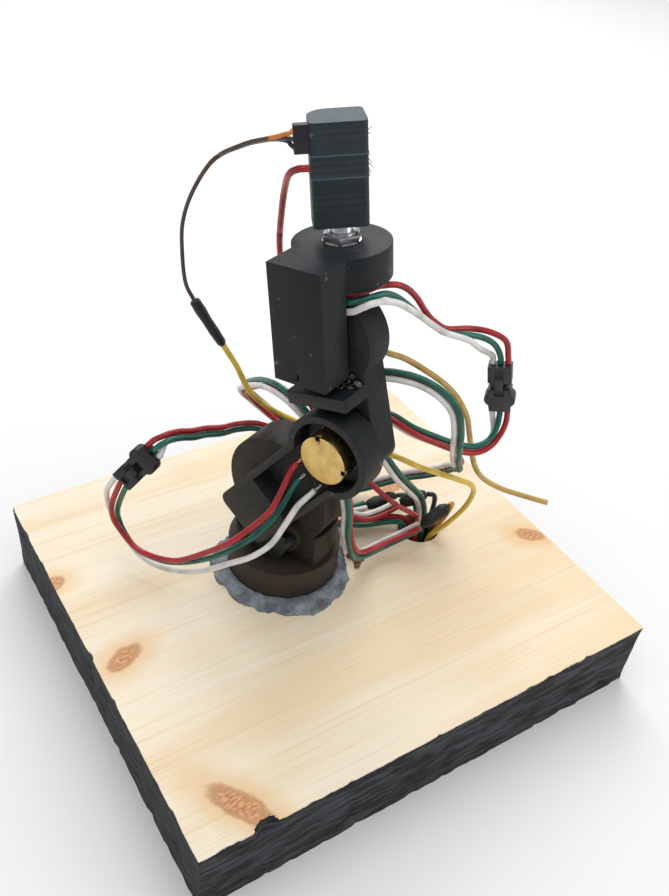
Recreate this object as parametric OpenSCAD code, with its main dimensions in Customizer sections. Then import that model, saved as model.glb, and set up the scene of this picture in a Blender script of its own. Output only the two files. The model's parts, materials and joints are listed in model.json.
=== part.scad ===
// Joystick arm that reads its own pose: five potentiometers joined by printed keyhole links,
// standing on a pine board. Millimetres, +Z up, origin under the middle of the board.

/* [Board] */
// Width of the board, along X
board_w = 180; // [176:1:220]
// Depth of the board, along Y
board_d = 165; // [160:1:210]
// Thickness of the board
board_t = 30; // [20:1:40]
// Radius of the wire hole drilled through the board
wire_hole_r = 8.2; // [7:0.1:10]
// Wire hole centre along X
wire_hole_x = 46; // [44:1:52]
// Wire hole centre along Y
wire_hole_y = -1; // [-6:1:4]

/* [Base ring] */
// Outer radius of the ring that holds the yaw potentiometer
ring_r = 20.5; // [19.5:0.1:23]
// Height of the ring above the board
ring_h = 14; // [12.5:0.1:18]
// Place of the yaw axis along X
yaw_x = -11; // [-20:1:0]
// Place of the yaw axis along Y
yaw_y = 8; // [0:1:16]
// Direction that the arm faces, turned about the yaw axis
yaw_rest = -158; // [-165:1:-150]
// Direction in which the yaw potentiometer's leads leave the ring
ring_exit = 10; // [-20:1:40]
// Height of the putty bead where it meets the ring
putty_h = 3; // [2:0.1:4]
// Mean reach of the putty beyond the ring
putty_reach = 5; // [3:0.1:6]

/* [Turret] */
// Radius of the round turret foot
foot_r = 19; // [17.5:0.1:20]
// Top of the turret foot above the board
foot_top = 28; // [24:0.5:30]
// Radius of the turret head that holds the shoulder potentiometer
head_r = 20.7; // [19:0.1:22]
// Front face of the turret, forward of the yaw axis
turret_front = 6.5; // [6:0.1:7]
// Back face of the turret head, behind the yaw axis
turret_back = 7.5; // [7:0.1:9]
// Height of the shoulder axis above the board
shoulder_h = 40; // [39:0.5:46]
// Half width of the turret between its foot and its head
waist_half = 17.1; // [15:0.1:17.5]
// Distance of the clamp screw below the shoulder axis
clamp_drop = 15; // [14.5:0.1:16]
// Offset of the clamp screw from the yaw axis
clamp_y = 5.8; // [5:0.1:7]
// Radius of the round boss behind the clamp block
clamp_boss_r = 7; // [5:0.1:8]
// Thickness of the clamp block
clamp_t = 2.8; // [2:0.1:3]

/* [Links] */
// Outer radius of the cup that holds each potentiometer
cup_r = 14.4; // [13.5:0.1:15.5]
// Wall thickness of the cups and channels
wall = 2.5; // [2:0.1:3]
// Depth of the lower arm and of the wrist head
link_t = 10; // [9.5:0.1:11]
// Width of each straight tail
tail_w = 21.4; // [20:0.1:23]
// Distance from the shoulder axis to the elbow axis
lower_len = 47; // [45:0.5:60]
// Distance from the elbow axis to the wrist axis
upper_len = 34.2; // [33:0.1:45]
// Length of each tail beyond its axis
hub_end = 9.8; // [8:0.1:10.5]
// Lean of the lower arm from upright at rest
lower_tilt = -35.4; // [-40:0.1:-30]
// Lean of the upper arm from upright at rest
upper_tilt = 17; // [12:0.1:22]
// Lean of the wrist block from upright at rest
wrist_tilt = 8.4; // [4:0.1:12]
// Gap between the turret face and the lower arm
shoulder_gap = 3.5; // [3.2:0.1:4]
// Running gap between the lower arm and the upper arm
elbow_gap = 1; // [0.6:0.1:2]
// Gap between the upper arm and the wrist block
wrist_gap = 3.2; // [2.9:0.1:4]
// Depth of the upper arm
upper_t = 10.5; // [10:0.1:11]
// Corner radius at the end of the upper arm
upper_corner_r = 6; // [3:0.5:7]
// Corner radius at the end of the lower arm
lower_corner_r = 3.5; // [2:0.5:6]
// Length of the shelf that stands forward of the upper arm
shelf_reach = 10.5; // [6:0.5:10.8]
// Thickness of the shelf
shelf_t = 4.3; // [3:0.1:4.6]
// Distance of the shelf below the wrist axis
shelf_drop = 13; // [12.9:0.1:13.2]

/* [Wrist block] */
// Width of the wrist block
block_w = 18.2; // [17:0.1:20]
// Depth of the wrist block, front to back
block_d = 11.4; // [11:0.1:13]
// Height of the block top above the wrist axis
block_top = 27.8; // [27.8:0.1:32]
// Depth of the block below the wrist axis
block_drop = 8.4; // [7:0.1:8.8]
// Distance from the block front to the twist axis
twist_setback = 22.8; // [22:0.1:24]

/* [Handle] */
// Width of the handle
handle_w = 15.5; // [14:0.1:17]
// Depth of the handle
handle_d = 13.7; // [12:0.1:15]
// Height of the handle
handle_h = 28.3; // [26:0.1:34]
// Gap between the wrist block and the handle
handle_lift = 6; // [5.6:0.1:8]
// Turn of the handle about its own axis at rest
handle_turn = 41.7; // [36:0.1:46]
// Radius of the rounded corner of the handle
handle_round_r = 6; // [4:0.1:6.4]
// Radius of the other corners of the handle
handle_corner_r = 1.6; // [1:0.1:2]

/* [Potentiometers] */
// Radius of the metal can
pot_r = 8.1; // [7.8:0.1:8.4]
// Depth of the whole body behind its mounting face
pot_depth = 9; // [8.6:0.1:9.4]
// Thickness of the mounting plate
plate_t = 0.9; // [0.6:0.1:1.2]
// Thickness of the terminal wafer
wafer_t = 1.6; // [1.2:0.1:2]
// Radius of the threaded bushing
bushing_r = 3.5; // [3.4:0.1:3.8]
// Length of the bushing in front of the mounting face
bushing_len = 5.5; // [5.2:0.1:5.6]
// Radius of the shaft
shaft_r = 3; // [2.8:0.05:3.05]
// Width of the nut across its flats
nut_af = 10; // [9.5:0.1:10.4]
// Thickness of the nut
nut_t = 2; // [1.6:0.1:2.1]
// Thickness of the washer under the nut
washer_t = 0.5; // [0.4:0.1:0.6]
// Radius of the washer
washer_r = 5.6; // [5.2:0.1:6]

/* [Connectors] */
// Width of the three-way wire connectors
conn_w = 7.8; // [7.4:0.1:8.6]
// Thickness of the three-way wire connectors
conn_t = 4.6; // [4.2:0.1:5]
// Length of each half of a wire connector
conn_len = 8.5; // [7.5:0.1:9]
// Length of the three-way header housing
header_len = 14; // [12:0.5:15]
// Pitch of the three-way header housing
header_pitch = 2.54; // [2.5:0.01:2.6]

/* [Hidden] */
$fn = 96;
eps = 0.01;

// Fits shared by the pieces
shaft_play = 0.05;              // radial play of a shaft in its bushing
hub_fit = 0.02;                 // radial fit of a shaft in a printed hub
bushing_play = 0.1;             // radial play of a bushing in its printed wall
seat_play = 0.15;               // play between the nut and its pocket floor
turret_gap = 0.5;               // running gap between the ring and the turret foot

// Leads: every route is hand-laid in the board's frame, from its exit to its far end
wire_r = 1;                     // insulated hook-up wire
wire_ring = 1.35;               // reach of each wire of a three-way lead from its middle
strand_r = 0.62;                // each strand of the flat signal ribbon
strand_pitch = 1.35;            // spacing of the ribbon's strands
conn_pitch = 2.5;               // spacing of the ways in a wire connector
conn_in = 3;                    // straight stretch of a wire before its connector
conn_touch = 0.15;              // gap between a wire's end and its connector
lead_exit_h = 8.5;              // height of the notch in the ring
elbow_conn = [[-63.5, 27.5, 76.5], [-55.5, 21.5, 90], 163];     // start, heading, roll
twist_conn = [[47, -23.5, 122.5], [49, -26, 105.5], 175];
elbow_red = [
    [-19.8, -13.6, 101], [-22.5, -12, 96], [-26, -13, 90.5], [-31, -14, 83], [-37, -11.5, 75.5],
    [-43, -8.5, 69], [-48.5, -1, 60], [-54, 8, 51], [-58.5, 18, 46], [-62, 25.5, 45.5],
    [-64.5, 30.5, 49.5], [-66.5, 33, 55], [-67, 32, 63]];
elbow_green = [
    [-19, -14.5, 94.5], [-21, -13, 90.5], [-24, -12.5, 84.5], [-28, -13, 79.5], [-33.5, -12.5, 73.5],
    [-39, -10, 68], [-45.5, -4, 60], [-50.5, 5.5, 51], [-54.5, 14, 45], [-58, 21.5, 42.5],
    [-61, 27.5, 42.5], [-63, 32.5, 47], [-64, 35, 52.5], [-64.5, 33, 60]];
elbow_white = [
    [-16.5, -20.5, 93.5], [-19.5, -19.5, 90], [-23.5, -18, 85], [-27.5, -17.5, 78], [-32, -17, 71],
    [-37.5, -14, 65], [-42, -7, 57.5], [-46.5, 2, 48], [-50.5, 11, 41], [-55, 20, 37], [-59, 28.5, 37],
    [-62, 35.5, 42], [-64.5, 38.5, 50], [-66.5, 37.5, 60], [-67.5, 34, 68.5]];
elbow_tail_route = [
    [-54.7, 20.7, 91.8], [-53.3, 20, 94], [-50.5, 19.4, 95.5], [-46.5, 20.3, 94.5], [-41, 23, 91],
    [-34, 27, 87], [-26, 31, 82], [-17, 35, 78], [-8, 35, 75], [1, 31, 69], [7, 24, 60], [11, 16, 50],
    [16, 11, 42], [23, 7, 38.5], [31, 6, 38.5], [39, 6, 40]];
shoulder_route = [[-10, 8, 83], [-6, 10, 82], [-1, 14, 79], [1, 22, 77], [-2, 32, 78], [-8, 39.5, 84],
    [-13, 38.5, 91], [-14, 32.5, 97], [-14.5, 22.5, 104], [-15, 11, 109], [-13, 3, 108],
    [-10, -3, 103], [-7, -7, 94], [-3, -12, 84], [-1, -15, 72], [1, -14, 58], [6, -12, 45],
    [14, -8, 37], [24, -6, 35], [34, -7, 37], [39.5, -9, 40.5]];
yaw_route = [[1.7, 10.2, 35.9], [5, 10.8, 35.9], [10, 11.5, 35.8], [15, 11, 34.8], [20, 10.5, 33.4],
    [27, 8, 33], [35, 4.5, 34.5], [40, 2.5, 33.5], [42.2, 2.3, 28.5], [42.5, 2.5, 21], [42.5, 2.5, 12],
    [42.5, 2.5, 4]];
twist_red = [[-16.7, -14.2, 162.8], [-14.1, -14.2, 160.5], [-11.7, -14.8, 158.7], [-9.8, -15.9, 158],
    [-7.1, -16.3, 158.1], [-4.4, -16.3, 158.2], [-1.7, -15.9, 158.3], [1, -15.5, 158],
    [5.5, -16, 157.5], [10, -16, 155], [14, -16, 151], [17.5, -16.5, 146], [21, -17, 142],
    [26.5, -17.5, 138], [35.5, -18, 136], [42, -20.5, 134.5], [47, -23.5, 131.5]];
twist_green = [
    [-18.3, -10.2, 162.1], [-15.7, -10.2, 159.7], [-14.7, -11.4, 157.5], [-13.7, -13.6, 156.2],
    [-12.3, -16.1, 156.1], [-10.2, -18.1, 156.8], [-7.6, -19.2, 157.5], [-5.1, -19.9, 158.2],
    [0, -18.8, 157.3], [4, -18.8, 155.3], [8, -18.8, 152], [13.5, -19.5, 147], [19, -19.6, 142.3],
    [25, -19.8, 138], [34, -20.7, 135.5], [40, -21.5, 133], [44.5, -22, 129.5]];
twist_white = [[-19.9, -6.2, 161.3], [-17.7, -6, 158.2], [-16.5, -7.2, 155.8], [-15.1, -10.2, 153.9],
    [-13.5, -14, 153.4], [-12.3, -17.3, 153.7], [-11.4, -19.9, 155], [-9.8, -21.7, 156.8],
    [-7.3, -23, 158.2], [-2, -21.6, 156.8], [3, -22, 155], [10, -22.5, 150], [16.5, -21.9, 144.5],
    [22, -22.5, 140.5], [31, -23.3, 136], [37, -23, 131], [42, -21.3, 127.3]];
twist_tail_route = [[49.3, -26.3, 102.5], [49.2, -26.8, 99.5], [48.4, -27.3, 96.3], [46.2, -27.6, 93.6],
    [42.5, -27.5, 92.2], [38, -26.7, 92.3], [32, -25, 94.5], [24, -23, 99], [17, -20, 103],
    [12, -14, 106], [9, -8, 104], [10, -2, 98], [14, 0, 89], [20, -3, 79], [27, -5, 68], [35, -4, 58],
    [42, -2, 49], [45.5, -1.5, 40], [46, -1.5, 30], [46, -1.5, 18], [46, -1.5, 4]];
wrist_route = [[-3.3, -11.9, 128.6], [0, -12, 127], [4, -14, 125.5], [9, -18, 126], [14, -24, 126],
    [18, -30, 124], [21, -34, 119.5], [23, -35, 112], [25, -34, 104], [28, -32, 96], [33, -28.5, 88.5],
    [38, -21, 81], [42, -12, 71], [43.5, -2, 61], [43, 8, 52], [41, 16, 44], [36, 23, 37],
    [28, 27, 34], [20, 27, 34], [15, 22, 34.5], [17, 17.5, 35.5], [23, 15, 36], [29.8, 14, 36]];
tan_route = [
    [2, -13, 136], [6, -16, 134], [11, -18.5, 132], [19, -20, 126], [26, -22, 120], [32, -23, 113],
    [37.5, -23, 104], [42, -21, 95], [46, -20, 85], [50, -20, 75], [55, -21, 68], [61, -25, 64],
    [69, -30, 61], [76, -35, 59]];
ribbon_route = [
    [-21.1, 1.8, 197.1], [-22.5, 3.5, 196.9], [-25, 8.5, 195], [-28, 16, 191], [-32, 25, 184],
    [-35.5, 31, 173], [-37, 35, 162], [-37, 36, 152], [-37, 34, 142], [-35, 32, 136]];
sleeve_route = [[-35, 32, 136], [-33, 31, 132], [-30, 30, 126], [-27, 28, 120]];
signal_route = [
    [-27, 28, 120], [-22.5, 26.5, 111], [-18.5, 25, 101], [-12, 25.5, 92.5], [-5, 25, 86], [1, 18, 84],
    [5, 8, 86], [8, -3, 89], [12, -13, 91], [16, -20, 91], [22, -22, 87], [30, -23, 82], [38, -24, 77],
    [46, -24, 71], [51, -21, 62], [52, -17, 51], [50.5, -11.5, 39], [47.5, -7, 30], [46.5, -6.5, 23],
    [46.5, -6.5, 14], [46.5, -6.5, 4]];
handle_route = [[-17.8, -0.6, 189.6], [-19.3, 1, 189], [-19.5, 5, 186], [-17, 11, 179], [-14, 17, 169],
    [-10, 24, 155], [-6, 28, 141], [-3, 29, 124], [-1, 27, 106], [3.5, 21, 92], [9, 11, 78],
    [16, -1, 68], [25, -8, 58], [34, -8, 49.5], [40, -5, 42.5], [42, -4.5, 34], [42, -4.5, 26],
    [42, -4.5, 15], [42, -4.5, 4]];
sleeves = [[[30.3, 14, 36], [43, 12, 38]], [[40.2, 5.6, 40.4], [50, 2, 44]],
    [[40.3, -9.2, 41.2], [51, -10, 47]]];
loom_routes = [
    [[43.3, 12, 38], [47, 10, 38], [49.3, 7.2, 35], [49.2, 4.6, 29.5], [48.5, 3.5, 22],
        [48.5, 3.5, 4]],
    [[50.3, 2, 44], [53, 0.5, 43], [53, 0, 37], [51.5, 0, 29], [51, 0, 18], [51, 0, 4]],
    [[51.3, -10, 47], [54, -9, 46], [54, -7, 39], [51.5, -5.5, 31], [50, -5, 22], [50, -5, 4]]];

// Colours of the printed and bought pieces
print_black = [0.09, 0.09, 0.10];
print_slate = [0.24, 0.28, 0.31];
ring_brown = [0.16, 0.13, 0.11];
can_brass = [0.78, 0.60, 0.25];
zinc = [0.75, 0.76, 0.78];
wafer_brown = [0.34, 0.20, 0.10];
putty_grey = [0.56, 0.60, 0.66];
pine = [0.93, 0.83, 0.66];
black_nylon = [0.05, 0.05, 0.06];
wire_red = [0.62, 0.10, 0.12];
wire_green = [0.05, 0.38, 0.27];
wire_white = [0.88, 0.88, 0.86];
wire_tan = [0.70, 0.55, 0.25];
wire_brown = [0.30, 0.19, 0.14];
lead_colours = [wire_red, wire_green, wire_white];

// Places worked out from the driving sizes; x runs along the pitch axes, forward
cup_in = cup_r - wall;
channel_half = tail_w / 2 - wall;
nut_r = nut_af / 2 / cos(30);
nut_stack = washer_t + nut_t;
lower_back = turret_front + shoulder_gap;
lower_front = lower_back + link_t;
upper_front = lower_back - elbow_gap;
upper_back = upper_front - upper_t;
block_back = upper_front + wrist_gap;
block_front = block_back + block_d;
twist_x = block_front - twist_setback;
block_bottom = block_top - link_t;
hub_bore_r = shaft_r + hub_fit;
wall_bore_r = bushing_r + bushing_play;
pocket_r = nut_r + 1.2;
pocket_d = nut_stack + seat_play + 0.85;
hub_solid = 11.4;
shaft_in_hub = 6.5;
clamp_z = shoulder_h - clamp_drop;
tail_sweep = norm([tail_w / 2 - lower_corner_r, hub_end - lower_corner_r]) + lower_corner_r;
sweep_gap = 0.6;

// ---- frames -------------------------------------------------------------

module on_base() translate([yaw_x, yaw_y, board_t]) children();
module on_turret() on_base() rotate([0, 0, yaw_rest]) children();
module on_lower() on_turret() translate([0, 0, shoulder_h]) rotate([lower_tilt, 0, 0]) children();
module on_upper() on_lower() translate([0, 0, lower_len])
    rotate([upper_tilt - lower_tilt, 0, 0]) children();
module on_wrist() on_upper() translate([0, 0, upper_len])
    rotate([wrist_tilt - upper_tilt, 0, 0]) children();
module on_handle() on_wrist() translate([twist_x, 0, block_top + handle_lift])
    rotate([0, 0, handle_turn]) children();

// Extrudes a flat outline (across, along) forward from x0 to x1
module slab(x0, x1) translate([x0, 0, 0]) rotate([90, 0, 90]) linear_extrude(x1 - x0) children();
// A round bar along x
module bar(r, x0, x1) translate([x0, 0, 0]) rotate([0, 90, 0]) cylinder(r = r, h = x1 - x0);

// Frames of the potentiometers: +Z is the shaft, z = 0 the mounting face, -Y the terminals
module in_ring_pot() on_base() translate([0, 0, ring_h - wall])
    rotate([0, 0, ring_exit + 90]) children();
module in_head_pot() on_turret() translate([turret_front - wall, 0, shoulder_h])
    rotate([0, 90, 0]) rotate([0, 0, -90]) children();
module in_lower_pot() on_lower() translate([lower_back + wall, 0, lower_len])
    rotate([0, -90, 0]) rotate([0, 0, -90]) children();
module in_upper_pot() on_upper() translate([upper_front - wall, 0, upper_len])
    rotate([0, 90, 0]) rotate([0, 0, 90]) children();
module in_wrist_pot() on_wrist() translate([twist_x, 0, block_top - wall])
    rotate([0, 0, 90]) children();

// ---- potentiometer pieces -----------------------------------------------

can_wall = 0.5;
can_len = pot_depth - plate_t - wafer_t;
wiper_r = 0.69 * pot_r;
wiper_t = 0.13 * pot_depth;
shaft_inner = pot_depth - can_wall - wiper_t / 2;
lug_len = 3.6;
wafer_reach = 2.4;
wafer_half = 6.2;

module pot_can() color(can_brass) {
    translate([0, 0, -pot_depth]) difference() {
        cylinder(r = pot_r, h = can_len);
        translate([0, 0, can_wall]) cylinder(r = pot_r - can_wall, h = can_len);
        // slots that were pressed out for the stop tabs
        for (a = [35, 150]) rotate([0, 0, a]) translate([pot_r - 1.2, -0.9, -1]) cube([2, 1.8, 2.2]);
    }
    // stop tab, curled outward
    rotate([0, 0, 35]) translate([pot_r - 2.2, -0.5, -pot_depth - 0.4]) cube([1, 1, 0.4]);
}

module pot_wafer() color(wafer_brown) {
    translate([0, 0, -plate_t - wafer_t]) difference() {
        union() {
            cylinder(r = pot_r - 0.1, h = wafer_t);
            translate([-wafer_half, -pot_r - wafer_reach, 0])
                cube([2 * wafer_half, pot_r + wafer_reach, wafer_t]);
        }
        translate([0, 0, -1]) cylinder(r = bushing_r + 0.6, h = wafer_t + 2);
    }
    // three solder lugs, each with an eye
    for (i = [-1 : 1])
        translate([i * 4.4, -pot_r - wafer_reach, -plate_t - wafer_t]) difference() {
            translate([-0.9, -lug_len, 0]) cube([1.8, lug_len, 0.5]);
            translate([0, 1 - lug_len, -1]) cylinder(r = 0.5, h = 3);
        }
}

module pot_bushing() color(zinc) difference() {
    union() {
        translate([0, 0, -plate_t]) cylinder(r = pot_r - 0.05, h = plate_t);
        cylinder(r = bushing_r, h = bushing_len);
    }
    translate([0, 0, -plate_t - 1]) cylinder(r = shaft_r + shaft_play, h = bushing_len + plate_t + 2);
}

module pot_nut() color(zinc) translate([0, 0, wall]) difference() {
    union() {
        cylinder(r = washer_r, h = washer_t);
        translate([0, 0, washer_t]) cylinder(r = nut_r, h = nut_t, $fn = 6);
    }
    translate([0, 0, -1]) cylinder(r = bushing_r + eps, h = nut_stack + 2);
}

// Shaft with its wiper carrier inside the can; reach is measured from the mounting face
module pot_shaft(reach) color(zinc) {
    translate([0, 0, -shaft_inner]) cylinder(r = shaft_r, h = shaft_inner + reach);
    translate([0, 0, -shaft_inner]) cylinder(r = wiper_r, h = wiper_t);
}

// ---- base ---------------------------------------------------------------

module board() color(pine) difference() {
    translate([-board_w / 2, -board_d / 2, 0]) cube([board_w, board_d, board_t]);
    translate([wire_hole_x, wire_hole_y, -1]) cylinder(r = wire_hole_r, h = board_t + 2);
}

// Reach of the putty around the ring, as two slow waves and a quick one
function putty_r(a) = ring_r + putty_reach
    + 1.6 * sin(a + 40) + 1.1 * sin(3 * a) + 0.5 * sin(7 * a + 80);

module putty_skirt() color(putty_grey) on_base() difference() {
    steps = 60;
    polyhedron(
        points = concat(
            [for (i = [0 : steps - 1]) let (a = i * 360 / steps)
                [putty_r(a) * cos(a), putty_r(a) * sin(a), 0]],
            [for (i = [0 : steps - 1]) let (a = i * 360 / steps, r = putty_r(a) - 1.2)
                [r * cos(a), r * sin(a), putty_h * 0.5]],
            [for (i = [0 : steps - 1]) let (a = i * 360 / steps, r = ring_r + 0.8)
                [r * cos(a), r * sin(a), putty_h]],
            [[0, 0, 0], [0, 0, putty_h]]),
        faces = concat(
            [for (k = [0 : 1], i = [0 : steps - 1]) let (j = (i + 1) % steps)
                [k * steps + i, (k + 1) * steps + i, (k + 1) * steps + j, k * steps + j]],
            [for (i = [0 : steps - 1]) [3 * steps, i, (i + 1) % steps]],
            [for (i = [0 : steps - 1])
                [3 * steps + 1, 2 * steps + (i + 1) % steps, 2 * steps + i]]));
    translate([0, 0, -1]) cylinder(r = ring_r, h = putty_h + 2);
}

module base_ring() color(ring_brown) on_base() difference() {
    cylinder(r = ring_r, h = ring_h);
    translate([0, 0, -1]) cylinder(r = ring_r - wall, h = ring_h - wall + 1);
    translate([0, 0, -1]) cylinder(r = wall_bore_r, h = ring_h + 2);
    // the notch that the leads leave by, over the putty
    rotate([0, 0, ring_exit + 90]) translate([-4, -ring_r - 1, -1])
        cube([8, ring_r, lead_exit_h + 1]);
}

// ---- turret -------------------------------------------------------------

foot_z = ring_h + turret_gap;
boss_front = lower_back - 0.5;
clamp_front = boss_front + clamp_t;
clamp_head_r = 1.35;
screw_r = 1;
lug_room = 15;

module turret() color(print_black) on_turret() difference() {
    union() {
        intersection() {
            translate([0, 0, foot_z]) cylinder(r = foot_r, h = foot_top - foot_z);
            translate([-foot_r - 1, -foot_r - 1, 0])
                cube([foot_r + 1 + turret_front, 2 * foot_r + 2, foot_top + 1]);
        }
        slab(-turret_back, turret_front) union() {
            translate([0, shoulder_h]) circle(r = head_r);
            translate([-waist_half, foot_z]) square([2 * waist_half, shoulder_h - foot_z - 8]);
        }
        translate([0, clamp_y, clamp_z]) bar(clamp_boss_r, turret_front - 1, boss_front);
    }
    // cup for the shoulder potentiometer, open behind, with room for its terminals
    translate([0, 0, shoulder_h]) bar(cup_in, -turret_back - 1, turret_front - wall);
    slab(-turret_back - 1, turret_front - wall)
        translate([-lug_room / 2, shoulder_h]) square([lug_room, pot_r + wafer_reach + lug_len + 1.9]);
    translate([0, 0, shoulder_h]) bar(wall_bore_r, 0, turret_front + 1);
    // pocket over the yaw nut, and the bore for the yaw shaft
    translate([0, 0, foot_z - 1]) cylinder(r = pocket_r, h = 1 + pocket_d - turret_gap);
    translate([0, 0, foot_z]) cylinder(r = hub_bore_r, h = pocket_d - turret_gap + shaft_in_hub + 0.5);
    translate([0, clamp_y, clamp_z]) bar(screw_r + 0.05, turret_front - 6, boss_front + 1);
}

module shaft_clamp() color(print_black) on_turret() difference() {
    slab(boss_front, clamp_front) difference() {
        polygon([[-7, foot_z + 0.4], [6.5, foot_z + 0.4], [12, clamp_z + 0.9],
            [10, clamp_z + 2.6], [3, clamp_z + 1.2], [-7, clamp_z + 1.2]]);
        // stays clear of the lower arm's tail as it swings
        translate([0, shoulder_h]) circle(r = tail_sweep + sweep_gap);
    }
    translate([0, clamp_y, clamp_z]) bar(screw_r + 0.1, boss_front - 1, clamp_front + 1);
    translate([0, clamp_y, clamp_z]) bar(clamp_head_r, clamp_front - 1.2, clamp_front + 1);
}

module clamp_screw() color(zinc) on_turret() translate([0, clamp_y, clamp_z]) difference() {
    union() {
        bar(screw_r, turret_front - 5, clamp_front - 0.5);
        bar(clamp_head_r - 0.05, clamp_front - 1.2, clamp_front - 0.2);
    }
    slab(clamp_front - 0.8, clamp_front) circle(r = 0.7, $fn = 6);
}

// ---- links --------------------------------------------------------------

// Keyhole outline: a cup round the far axis and a straight tail past the near one
module keyhole(len, corner_r) {
    translate([0, len]) circle(r = cup_r);
    translate([-tail_w / 2, -hub_end + corner_r]) square([tail_w, len + hub_end - corner_r]);
    translate([-tail_w / 2 + corner_r, -hub_end]) square([tail_w - 2 * corner_r, corner_r + 1]);
    for (s = [-1, 1]) translate([s * (tail_w / 2 - corner_r), -hub_end + corner_r])
        circle(r = corner_r);
}

// Room inside a keyhole link: the cup and the channel that the leads run down
module keyhole_room(len) {
    translate([0, len]) circle(r = cup_in);
    translate([-channel_half, hub_solid]) square([2 * channel_half, len - hub_solid]);
}

module lower_arm() color(print_black) on_lower() difference() {
    slab(lower_back, lower_front) keyhole(lower_len, lower_corner_r);
    slab(lower_back + wall, lower_front + 1) keyhole_room(lower_len);
    translate([0, 0, lower_len]) bar(wall_bore_r, lower_back - 1, lower_back + wall + 1);
    bar(hub_bore_r, lower_back - 1, lower_back + shaft_in_hub + 0.5);
}

module upper_arm() color(print_black) on_upper() {
    difference() {
        slab(upper_back, upper_front) keyhole(upper_len, upper_corner_r);
        slab(upper_back - 1, upper_front - wall) keyhole_room(upper_len);
        translate([0, 0, upper_len]) bar(wall_bore_r, upper_front - wall - 1, upper_front + 1);
        bar(pocket_r, upper_front - pocket_d + elbow_gap, upper_front + 1);
        bar(hub_bore_r, upper_front - pocket_d + elbow_gap - shaft_in_hub - 0.5, upper_front + 1);
    }
    // shelf over the elbow cup
    translate([upper_front, -tail_w / 2, upper_len - shelf_drop - shelf_t])
        cube([shelf_reach, tail_w, shelf_t]);
}

module wrist_block() color(print_black) on_wrist() difference() {
    union() {
        translate([block_back, -block_w / 2, -block_drop])
            cube([block_d, block_w, block_drop + block_top]);
        translate([twist_x, 0, block_bottom]) cylinder(r = cup_r, h = link_t);
        translate([twist_x, -block_w / 2, block_bottom])
            cube([block_back - twist_x + 1, block_w, link_t]);
    }
    translate([twist_x, 0, block_bottom - 1]) cylinder(r = cup_in, h = link_t - wall + 1);
    translate([twist_x, -6.8, block_bottom - 1])
        cube([block_front - wall - twist_x, 13.6, link_t - wall + 1]);
    translate([twist_x, 0, block_bottom]) cylinder(r = wall_bore_r, h = link_t + 1);
    bar(hub_bore_r, block_back - 1, block_back + shaft_in_hub + 0.5);
    // slit left near the foot of the front face
    translate([block_front - 1, -0.9, -block_drop + 1.6]) cube([2, 0.7, 2.1]);
}

// ---- handle -------------------------------------------------------------

handle_left = -handle_w / 2 - 0.45;
handle_back = -handle_d / 2 - 0.35;
header_h = 3 * header_pitch;
header_x = 2.2;
header_z = handle_h - header_h - 0.6;
header_out = 4;
header_play = 0.1;
lead_hole_r = 1.25;
lead_hole_drop = 4.2;

// Cuts the corner at the origin, which opens towards +x +y, to a radius
module corner_cut(r) difference() {
    translate([-1, -1]) square(r + 1);
    translate([r, r]) circle(r = r);
}

module handle_outline() difference() {
    translate([handle_back, handle_left]) square([handle_d, handle_w]);
    translate([handle_back, handle_left]) corner_cut(handle_round_r);
    translate([handle_back + handle_d, handle_left]) rotate(90) corner_cut(handle_corner_r);
    translate([handle_back + handle_d, handle_left + handle_w]) rotate(180) corner_cut(handle_corner_r);
    translate([handle_back, handle_left + handle_w]) rotate(270) corner_cut(handle_corner_r);
}

module handle() color(print_slate) on_handle() difference() {
    linear_extrude(handle_h) handle_outline();
    translate([0, 0, -1]) cylinder(r = hub_bore_r, h = shaft_in_hub + 4.5);
    // socket that the header housing pushes into
    translate([header_x - header_play, handle_left - 1, header_z - header_play])
        cube([header_pitch + 2 * header_play, header_len - header_out + 1 + header_play,
            header_h + 2 * header_play]);
    // hole for the single lead
    translate([header_x + header_pitch / 2, handle_left - 1, header_z - lead_hole_drop])
        rotate([-90, 0, 0]) cylinder(r = lead_hole_r, h = 6);
}

module header_housing() color(black_nylon) on_handle()
    translate([header_x, handle_left - header_out, header_z]) difference() {
        cube([header_pitch, header_len, header_h]);
        // a wire way for each of the three crimps
        for (i = [0 : 2]) translate([0.5, -1, (i + 0.5) * header_pitch - 0.8]) cube([1.54, 4, 1.6]);
    }

// ---- leads --------------------------------------------------------------

// A smooth curve through the points: two rings to each stretch
function bend(a, b, c, d, t) = 0.5 * (2 * b + (c - a) * t
    + (2 * a - 5 * b + 4 * c - d) * t * t + (3 * b - a - 3 * c + d) * t * t * t);
function curve(p, n = 2) = let (last = len(p) - 1) concat(
    [for (i = [0 : last - 1], k = [0 : n - 1])
        bend(p[max(i - 1, 0)], p[i], p[i + 1], p[min(i + 2, last)], k / n)], [p[last]]);

function unit(v) = v / norm(v);
function heading(p, i) = unit(p[min(i + 1, len(p) - 1)] - p[max(i - 1, 0)]);
function side_from(t, s) = unit(s - (s * t) * t);
// Carries one sideways direction along the curve without twisting it
function sides(p, i = 1, done = undef) = let (
    list = done == undef ? [side_from(heading(p, 0), [0.31, 0.17, 0.94])] : done)
    i == len(p) ? list : sides(p, i + 1, concat(list, [side_from(heading(p, i), list[i - 1])]));

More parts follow.
